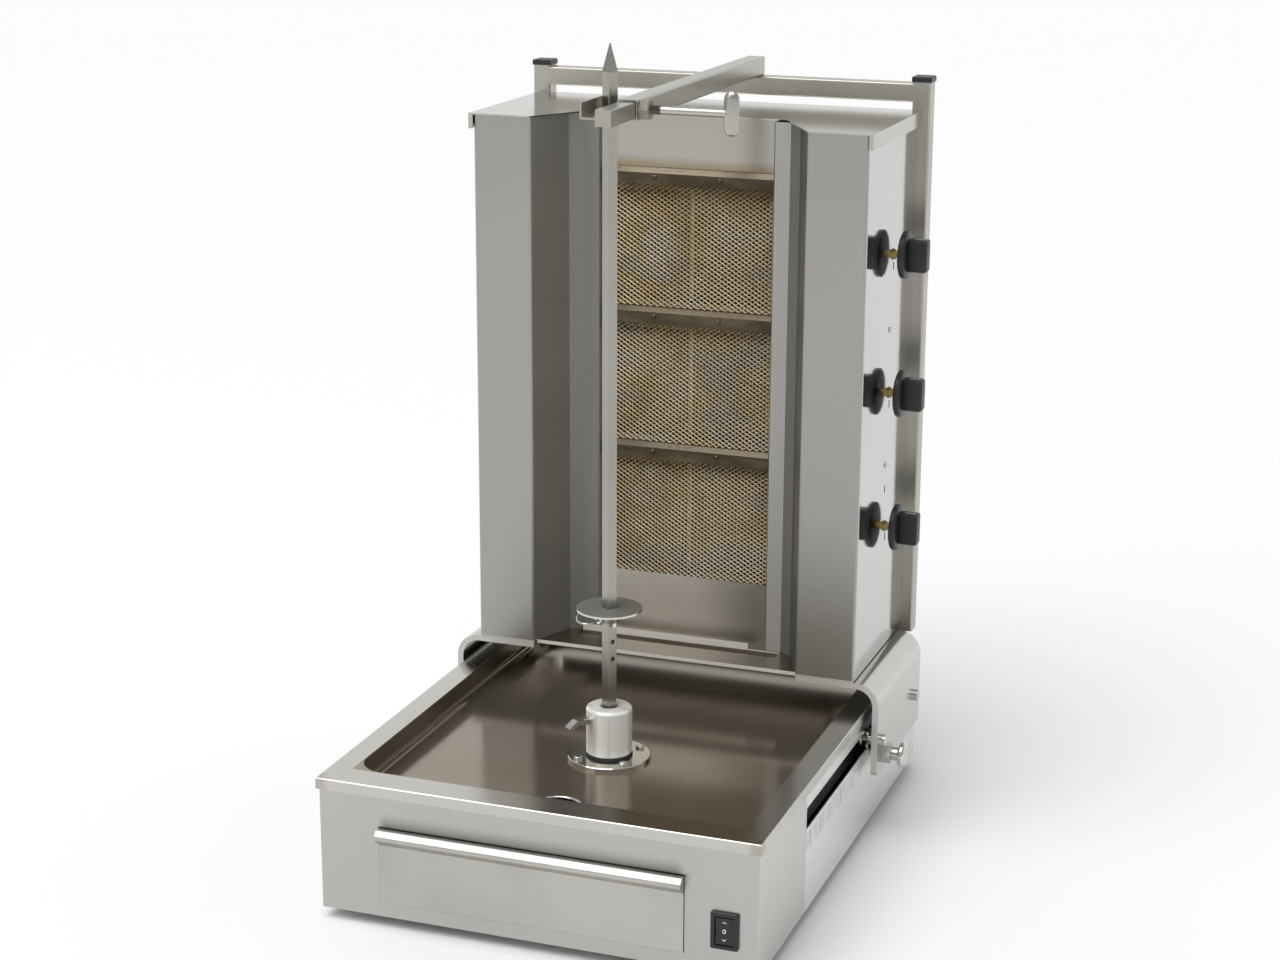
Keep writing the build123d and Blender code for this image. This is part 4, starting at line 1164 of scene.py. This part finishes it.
@dataclass
class BaseCasing:
    """Small pieces of the base: drain, drawer frame, slot liners and switch marks."""

    shelf: FinishShelf
    drain_x: float = -2.0 * MM
    drain_y: float = -229.5 * MM
    drain_radius: float = 24.0 * MM
    drain_bead: float = 1.8 * MM
    drain_depth: float = 4.0 * MM
    drain_sink: float = 0.5 * MM
    liner_x: float = 207.5 * MM
    liner_front: float = -160.0 * MM
    liner_rear: float = 275.0 * MM
    liner_bottom: float = 78.0 * MM
    liner_top: float = 126.0 * MM
    drawer_gap: float = 1.2 * MM
    frame_recess: float = 0.15 * MM
    frame_depth: float = 0.8 * MM
    frame_lap: float = 0.3 * MM
    frame_clearance: float = 0.2 * MM
    frame_shadow: float = 0.6 * MM
    mark_width: float = 0.5 * MM
    mark_reach: float = 2.4 * MM
    mark_rise: float = 8.6 * MM
    mark_relief: float = 0.15 * MM
    mark_depth: float = 1.6 * MM
    mark_lean_deg: float = 48.0
    mark_ring: float = 1.9 * MM

    def drain_lip(self) -> None:
        """Roll the edge of the drain hole in the pan floor."""
        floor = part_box("spit_flange")[0].z
        radius, bead = self.drain_radius, self.drain_bead
        angles = [math.radians(angle) for angle in range(0, 181, 20)]
        rounded = [(radius - bead * math.cos(angle), bead * math.sin(angle)) for angle in angles]
        ring = [
            (radius - bead, -self.drain_depth),
            *rounded,
            (radius + bead, -self.drain_sink),
            (radius, -self.drain_sink),
            (radius - 0.5 * bead, -self.drain_depth),
            (radius - bead, -self.drain_depth),
        ]
        lip = Draft("drain_lip")
        lip.lathe(ring, (self.drain_x, self.drain_y, floor), UP, 72)
        lip.done(self.shelf["steel_turned"], "base")

    def drawer_frame(self) -> None:
        """Close most of the gap round the drawer with a thin inner frame."""
        low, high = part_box("drawer_front")
        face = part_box("base_front_panel")[0].y + self.frame_recess
        outer = self.drawer_gap + self.frame_lap
        left, right, bottom = low.x - outer, high.x + outer, low.z - outer
        strips = Draft("drawer_frame")
        for start, end, top in (
            (left, right, low.z - self.frame_clearance),
            (left, low.x - self.frame_clearance, high.z),
            (high.x + self.frame_shadow, right, high.z),
        ):
            strips.box((start, face, bottom), (end, face + self.frame_depth, top))
        strips.done(self.shelf["steel_drawer"], "base")

    def slot_liners(self) -> None:
        """Add the sheets that are seen through the guide slots."""
        liners = Draft("slot_liners")
        for low_x in (-self.liner_x - MM, self.liner_x):
            liners.box(
                (low_x, self.liner_front, self.liner_bottom),
                (low_x + MM, self.liner_rear, self.liner_top),
            )
        liners.done(self.shelf["inner_sheet"], "base")

    def switch_marks(self) -> None:
        """Draw the arrows and the ring of the three switch positions."""
        middle = centre("switch_rocker")
        rocker_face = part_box("switch_rocker")[0].y
        face, back = rocker_face - self.mark_relief, rocker_face + self.mark_depth
        half = self.mark_width / 2
        marks = Draft("switch_marks")
        for turn in SIDES:
            tip = middle.z + turn * (self.mark_rise + self.mark_reach / 2)
            flip = Matrix.Scale(turn, 4, UP)
            for side in SIDES:
                before = set(marks.mesh.verts)
                marks.box((-half, face, -self.mark_reach), (half, back, 0.0))
                lean = Matrix.Rotation(side * math.radians(self.mark_lean_deg), 4, "Y")
                place = Matrix.Translation((middle.x, 0.0, tip)) @ flip @ lean
                bmesh.ops.transform(marks.mesh, matrix=place, verts=marks.since(before))
        outer, depth = self.mark_ring, back - face
        inner = outer - self.mark_width
        ring = ((inner, 0.0), (outer, 0.0), (outer, depth), (inner, depth), (inner, 0.0))
        marks.lathe(ring, (middle.x, back, middle.z), TO_FRONT, 28)
        marks.done(self.shelf["white_print"], "rocker")

    def build(self) -> None:
        """Make every small piece of the base."""
        self.drain_lip()
        self.drawer_frame()
        self.slot_liners()
        self.switch_marks()


@dataclass
class Burners:
    """Three infrared burners with their expanded-metal screens."""

    shelf: FinishShelf
    columns: int = 25
    rows: int = 54
    strand: float = 1.25 * MM
    thickness: float = 0.5 * MM
    tilt_deg: float = 40.0
    smooth_deg: float = 20.0
    gasket_half: float = 1.6 * MM
    gasket_proud: float = 0.4 * MM
    gasket_back: float = 1.0 * MM
    gasket_margin: float = 6.5 * MM
    screw_x: float = 36.5 * MM
    screw_rise: float = 8.0 * MM
    screw_radius: float = 2.6 * MM
    screw_height: float = 1.8 * MM

    def screen(self, index: int) -> None:
        """Make one screen of slit and stretched sheet.

        Args:
            index: number of the burner, from the bottom up.
        """
        node = f"burner_screen_{index}"
        low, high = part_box(node)
        width = high.x - low.x
        pitch = (high.z - low.z) / self.rows
        half_cell = width / (2 * self.columns)
        draft = Draft(f"screen_wire_{index}")
        middle_y = (low.y + high.y) / 2
        lean = Matrix.Rotation(math.radians(90.0 - self.tilt_deg), 3, "X")
        for row in range(self.rows):
            verts = bmesh.ops.create_grid(
                draft.mesh, x_segments=2 * self.columns, y_segments=1, size=0.5
            )["verts"]
            bmesh.ops.scale(draft.mesh, vec=(width, self.strand, 1.0), verts=verts)
            bmesh.ops.rotate(draft.mesh, cent=(0.0, 0.0, 0.0), matrix=lean, verts=verts)
            risen = [v for v in verts if (round((v.co.x + width / 2) / half_cell) + row) % 2]
            bmesh.ops.translate(draft.mesh, vec=(0.0, 0.0, pitch), verts=risen)
            bmesh.ops.translate(draft.mesh, vec=(0.0, middle_y, low.z + row * pitch), verts=verts)
        grown = bmesh.ops.extrude_face_region(draft.mesh, geom=list(draft.mesh.faces))["geom"]
        raised = [part for part in grown if isinstance(part, bmesh.types.BMVert)]
        depth = lean @ Vector((0.0, 0.0, self.thickness))
        bmesh.ops.translate(draft.mesh, vec=depth, verts=raised)
        draft.done(self.shelf["burner_wire"], "tower", (node,), self.smooth_deg)

    def fittings(self) -> None:
        """Add the gaskets between the tiles and the screws of the lips."""
        tile_low, tile_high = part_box("burner_tiles")
        gaskets = Draft("tile_gaskets")
        screws = Draft("lip_screws")
        front, rear = tile_low.y - self.gasket_proud, tile_high.y - self.gasket_back
        for index in BURNER_NUMBERS:
            low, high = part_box(f"burner_screen_{index}")
            gaskets.box(
                (-self.gasket_half, front, low.z + self.gasket_margin),
                (self.gasket_half, rear, high.z - self.gasket_margin),
            )
            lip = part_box(f"burner_case_{index}")[0].y
            for side in SIDES:
                seat = (side * self.screw_x, lip, high.z + self.screw_rise)
                screws.dome(seat, TO_FRONT, self.screw_radius, self.screw_height)
        gaskets.done(self.shelf["tile_gasket"], "tower")
        screws.done(self.shelf["burner_lip"], "tower")

    def build(self) -> None:
        """Make all screens and fittings."""
        for index in BURNER_NUMBERS:
            self.screen(index)
        self.fittings()


@dataclass
class GasTaps:
    """Push-and-turn taps on the right side of the tower."""

    shelf: FinishShelf
    nut_radius: float = 5.4 * MM
    nut_height: float = 3.0 * MM
    knob_edge: float = 1.6 * MM
    grip_edge: float = 2.6 * MM
    skirt: float = 7.0 * MM
    grip_half: float = 8.5 * MM
    grip_reach: float = 17.0 * MM
    bore_radius: float = 4.3 * MM
    crown: float = 0.6 * MM
    line_half: float = 0.7 * MM
    line_relief: float = 0.12 * MM
    line_root: float = 0.2 * MM
    line_start: float = 6.0 * MM
    line_end: float = 4.0 * MM

    def knob(self, index: int) -> None:
        """Make one knob with its pointer line.

        Args:
            index: number of the tap, from the bottom up.
        """
        node = f"knob_{index}"
        low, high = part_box(node)
        middle = centre(node)
        radius = (high.y - low.y) / 2
        edge = self.knob_edge
        seat = self.skirt
        tip = middle.z + self.grip_reach
        draft = Draft(f"tap_knob_{index}")
        profile = (
            (self.bore_radius, 0.0),
            (radius - edge, 0.0),
            (radius, edge * 0.6),
            (radius, seat - edge),
            (radius - 0.5 * edge, seat - 0.25 * edge),
            (radius - edge, seat),
            (0.0, seat + self.crown),
        )
        draft.lathe(profile, (low.x, middle.y, middle.z), ALONG_X, 64)
        draft.box(
            (low.x + seat - MM, middle.y - self.grip_half, middle.z - self.grip_reach),
            (high.x, middle.y + self.grip_half, tip),
            self.grip_edge,
            segments=4,
        )
        draft.done(self.shelf["black_plastic"], f"tap_{index}", (node,))
        line = Draft(f"tap_line_{index}")
        line.box(
            (low.x + seat + self.line_start, middle.y - self.line_half, tip - self.line_root),
            (high.x - self.line_end, middle.y + self.line_half, tip + self.line_relief),
        )
        line.done(self.shelf["white_print"], f"tap_{index}")

    def build(self) -> None:
        """Make the knobs and the nuts that hold the valves."""
        nuts = Draft("tap_nuts")
        panel_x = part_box("tower_shell_right")[1].x
        for index in BURNER_NUMBERS:
            self.knob(index)
            middle = centre(f"valve_spindle_{index}")
            seat = (panel_x, middle.y, middle.z)
            nuts.prism(seat, ALONG_X, self.nut_radius, self.nut_height, sides=6)
        nuts.done(self.shelf["brass"], "tower")


@dataclass
class Tower:
    """Small pieces of the sliding tower: side screws, skirts and the T screw."""

    shelf: FinishShelf
    screw_radius: float = 3.0 * MM
    screw_height: float = 1.8 * MM
    side_depth: float = 179.0 * MM
    side_screws: tuple[float, ...] = (538.0 * MM, 390.0 * MM)
    side_slot: float = 363.0 * MM
    slot_half_width: float = 1.5 * MM
    slot_half_height: float = 4.0 * MM
    slot_sink: float = 0.2 * MM
    slot_relief: float = 0.1 * MM
    slot_behind_tap: float = 3.0 * MM
    slot_below_tap: float = 13.0 * MM
    thread_length: float = 22.0 * MM
    thread_pitch: float = 1.5 * MM
    thread_depth: float = 0.55 * MM
    nut_height: float = 9.2 * MM
    nut_proud: float = 0.3 * MM
    nut_radius: float = 10.6 * MM
    nut_turn_deg: float = 30.0
    shank_radius: float = 4.0 * MM
    shank_lap: float = 3.0 * MM
    handle_width: float = 15.0 * MM
    handle_flatness: float = 0.62
    skirt_setback: float = 56.8 * MM
    skirt_half: float = 120.0 * MM
    skirt_rise: float = 2.7 * MM
    skirt_drop: float = 6.0 * MM
    skirt_clearance: float = 0.05 * MM
    rear_skirt_half: float = 195.0 * MM
    rear_skirt_gap: float = 12.0 * MM

    def side_fittings(self) -> None:
        """Add the screws, and flat black patches of painted shade for the small slots, on the right side of
        the casing.
        """
        panel_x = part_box("tower_shell_right")[1].x
        screws = Draft("side_screws")
        for height in self.side_screws:
            seat = (panel_x, self.side_depth, height)
            screws.dome(seat, ALONG_X, self.screw_radius, self.screw_height)
        screws.done(self.shelf["steel_turned"], "tower")
        taps = [centre(f"valve_spindle_{index}") for index in BURNER_NUMBERS]
        places = [(tap.y + self.slot_behind_tap, tap.z - self.slot_below_tap) for tap in taps]
        # Painted shade: each slot is a flat black patch standing for the dark inside of the slot.
        slots = Draft("side_slots")
        for depth, height in ((self.side_depth, self.side_slot), *places):
            slots.box(
                (panel_x - self.slot_sink, depth - self.slot_half_width, height - self.slot_half_height),
                (panel_x + self.slot_relief, depth + self.slot_half_width, height + self.slot_half_height),
            )
        slots.done(self.shelf["black_rubber"], "tower")

    def rail_skirt(self) -> None:
        """Carry the rail of the tower floor down behind the air slot, in a dark brown of painted shade."""
        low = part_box("tower_floor")[0]
        rear = low.y + self.skirt_setback
        top = low.z + self.skirt_rise
        skirt = Draft("rail_skirt")
        skirt.box(
            (-self.skirt_half, rear - MM, top - self.skirt_drop),
            (self.skirt_half, rear - self.skirt_clearance, top),
        )
        skirt.done(self.shelf["painted_shade_brown"], "tower")

    def rear_skirt(self) -> None:
        """Close most of the gap under the back of the tower with a dark sheet of painted shade, which the pan
        reflects.
        """
        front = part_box("back_panel")[0].y
        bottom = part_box("drip_pan")[1].z + self.rear_skirt_gap
        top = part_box("tower_floor")[0].z + self.skirt_rise
        skirt = Draft("rear_skirt")
        skirt.box((-self.rear_skirt_half, front, bottom), (self.rear_skirt_half, front + MM, top))
        skirt.done(self.shelf["steel_shade"], "tower")

    def clamp_nut(self, middle: Vector) -> None:
        """Make the nut in the arm that the T screw runs in.

        Args:
            middle: centre of the T screw.
        """
        nut = Draft("clamp_nut")
        foot = (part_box("support_arm")[1].x - self.nut_height, middle.y, middle.z)
        nut.prism(foot, ALONG_X, self.nut_radius, self.nut_height + self.nut_proud, sides=6)
        turn = Matrix.Rotation(math.radians(self.nut_turn_deg), 3, "X")
        bmesh.ops.rotate(nut.mesh, cent=middle, matrix=turn, verts=nut.mesh.verts[:])
        nut.done(self.shelf["nut_steel"], "tower")

    def clamp(self) -> None:
        """Make the T screw of the fork with a cut thread."""
        low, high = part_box("clamp_screw")
        middle = centre("clamp_screw")
        self.clamp_nut(middle)
        radius = (high.y - low.y) / 2
        root = radius - self.thread_depth
        length = self.thread_length
        profile = [(0.0, 0.0)]
        for tooth in range(int(length / self.thread_pitch)):
            start = tooth * self.thread_pitch
            profile += [(root, start), (radius, start + self.thread_pitch / 2)]
        profile += [(root, length), (0.0, length)]
        thread = Draft("clamp_thread")
        thread.lathe(profile, (low.x, middle.y, middle.z), ALONG_X, 28)
        thread.done(self.shelf["blackened_steel"], "clamp")
        handle = Draft("clamp_handle")
        bar_low = high.x - self.handle_width
        shank = (low.x + length, middle.y, middle.z)
        shank_length = bar_low - low.x - length + self.shank_lap
        handle.prism(shank, ALONG_X, self.shank_radius, shank_length, sides=28)
        grip = self.handle_width / 2
        tall = high.z - low.z
        arc = [math.radians(angle) for angle in range(0, 91, 15)]
        foot = [(grip * math.sin(a), grip * (1.0 - math.cos(a))) for a in arc]
        head = [(radius_at, tall - rise) for radius_at, rise in reversed(foot)]
        before = set(handle.mesh.verts)
        handle.lathe(foot + head, (0.0, 0.0, low.z), UP, 40)
        bar = handle.since(before)
        bmesh.ops.scale(handle.mesh, vec=(1.0, self.handle_flatness, 1.0), verts=bar)
        bmesh.ops.translate(handle.mesh, vec=(bar_low + grip, middle.y, 0.0), verts=bar)
        handle.done(self.shelf["steel_handle"], "clamp", ("clamp_screw",))

    def build(self) -> None:
        """Make every small piece of the tower."""
        self.side_fittings()
        self.rail_skirt()
        self.rear_skirt()
        self.clamp()


@dataclass
class Studio:
    """Pale floor, soft lamps and the camera."""

    floor_half: float = 14.0
    floor_tone: Colour = (0.92, 0.92, 0.92)
    sky_level: float = 0.5
    backdrop_level: float = 0.95
    backdrop_turn: float = 0.6
    backdrop_rise: Edges = (0.4, 0.75)
    sun_place: Point = (-0.5, -0.9, 2.2)
    sun_strength: float = 1.75
    sun_angle_deg: float = 50.0
    lamp_place: Point = (-1.8, -2.8, 2.4)
    lamp_target: Point = (0.0, 0.0, 0.4)
    lamp_size: float = 1.8
    lamp_power: float = 12.0
    camera_place: Point = (0.8484, -2.3425, 1.1052)
    camera_turn_deg: Point = (74.2498, -0.2606, 20.0080)
    lens_mm: float = 70.33
    shift_x: float = 0.0007
    shift_y: float = -0.0028

    def floor(self) -> None:
        """Lay the floor."""
        sheet = ShaderSheet("studio_floor")
        finish = sheet.surface(Base_Color=self.floor_tone, Roughness=0.9, Specular_IOR_Level=0.0)
        mesh = bmesh.new()
        bmesh.ops.create_grid(mesh, x_segments=1, y_segments=1, size=self.floor_half)
        data = bpy.data.meshes.new("studio_floor")
        mesh.to_mesh(data)
        mesh.free()
        data.materials.append(finish)
        floor = bpy.data.objects.new("studio_floor", data)
        bpy.context.scene.collection.objects.link(floor)

    @staticmethod
    def hang(data: bpy.types.Light, place: Vector, target: Vector) -> None:
        """Hang one light.

        Args:
            data: the light.
            place: its place in metres.
            target: the point that it faces.
        """
        light = bpy.data.objects.new(data.name, data)
        light.location = place
        light.rotation_mode = "QUATERNION"
        light.rotation_quaternion = (target - place).to_track_quat("-Z", "Y")
        bpy.context.scene.collection.objects.link(light)

    def lights(self) -> None:
        """Hang one wide, even light and one soft lamp."""
        sun = bpy.data.lights.new("wide_light", "SUN")
        sun.energy = self.sun_strength
        sun.angle = math.radians(self.sun_angle_deg)
        self.hang(sun, Vector(self.sun_place), Vector())
        lamp = bpy.data.lights.new("front_lamp", "AREA")
        lamp.shape = "SQUARE"
        lamp.size = self.lamp_size
        lamp.energy = self.lamp_power
        self.hang(lamp, Vector(self.lamp_place), Vector(self.lamp_target))

    def sky(self) -> None:
        """Set an even sky with a paler backdrop behind the object."""
        world = bpy.data.worlds.new("studio_sky")
        world.use_nodes = True
        sheet = NodeSheet(world.node_tree)
        toward = sheet.add("ShaderNodeTexCoord", {}, {}, "Generated")
        behind, height = (sheet.add("ShaderNodeSeparateXYZ", {}, {0: toward}, name) for name in "YZ")
        backdrop = behind.step(0.0, self.backdrop_turn) * (1.0 - height.step(*self.backdrop_rise))
        level = backdrop.between(self.sky_level, self.backdrop_level)
        background = world.node_tree.nodes["Background"]
        background.inputs["Color"].default_value = (1.0, 1.0, 1.0, 1.0)
        world.node_tree.links.new(level.socket, background.inputs["Strength"])
        bpy.context.scene.world = world

    def camera(self) -> None:
        """Set the camera at the photograph's angle."""
        data = bpy.data.cameras.new("photo_camera")
        data.sensor_width = 36.0
        data.lens = self.lens_mm
        data.shift_x = self.shift_x
        data.shift_y = self.shift_y
        data.clip_end = 100.0
        camera = bpy.data.objects.new("photo_camera", data)
        camera.location = self.camera_place
        camera.rotation_euler = [math.radians(angle) for angle in self.camera_turn_deg]
        bpy.context.scene.collection.objects.link(camera)
        bpy.context.scene.camera = camera

    def build(self) -> None:
        """Set up the whole studio."""
        self.floor()
        self.sky()
        self.lights()
        self.camera()
        bpy.context.scene.view_settings.view_transform = "Standard"
        LOG.info("studio ready")


def main() -> None:
    """Dress the object and set up its studio."""
    logging.basicConfig(level=logging.INFO, format="%(name)s: %(message)s")
    shelf = FinishShelf()
    shelf.dress()
    BaseCasing(shelf).build()
    Tower(shelf).build()
    Burners(shelf).build()
    GasTaps(shelf).build()
    Studio().build()


if __name__ == "__main__":
    main()
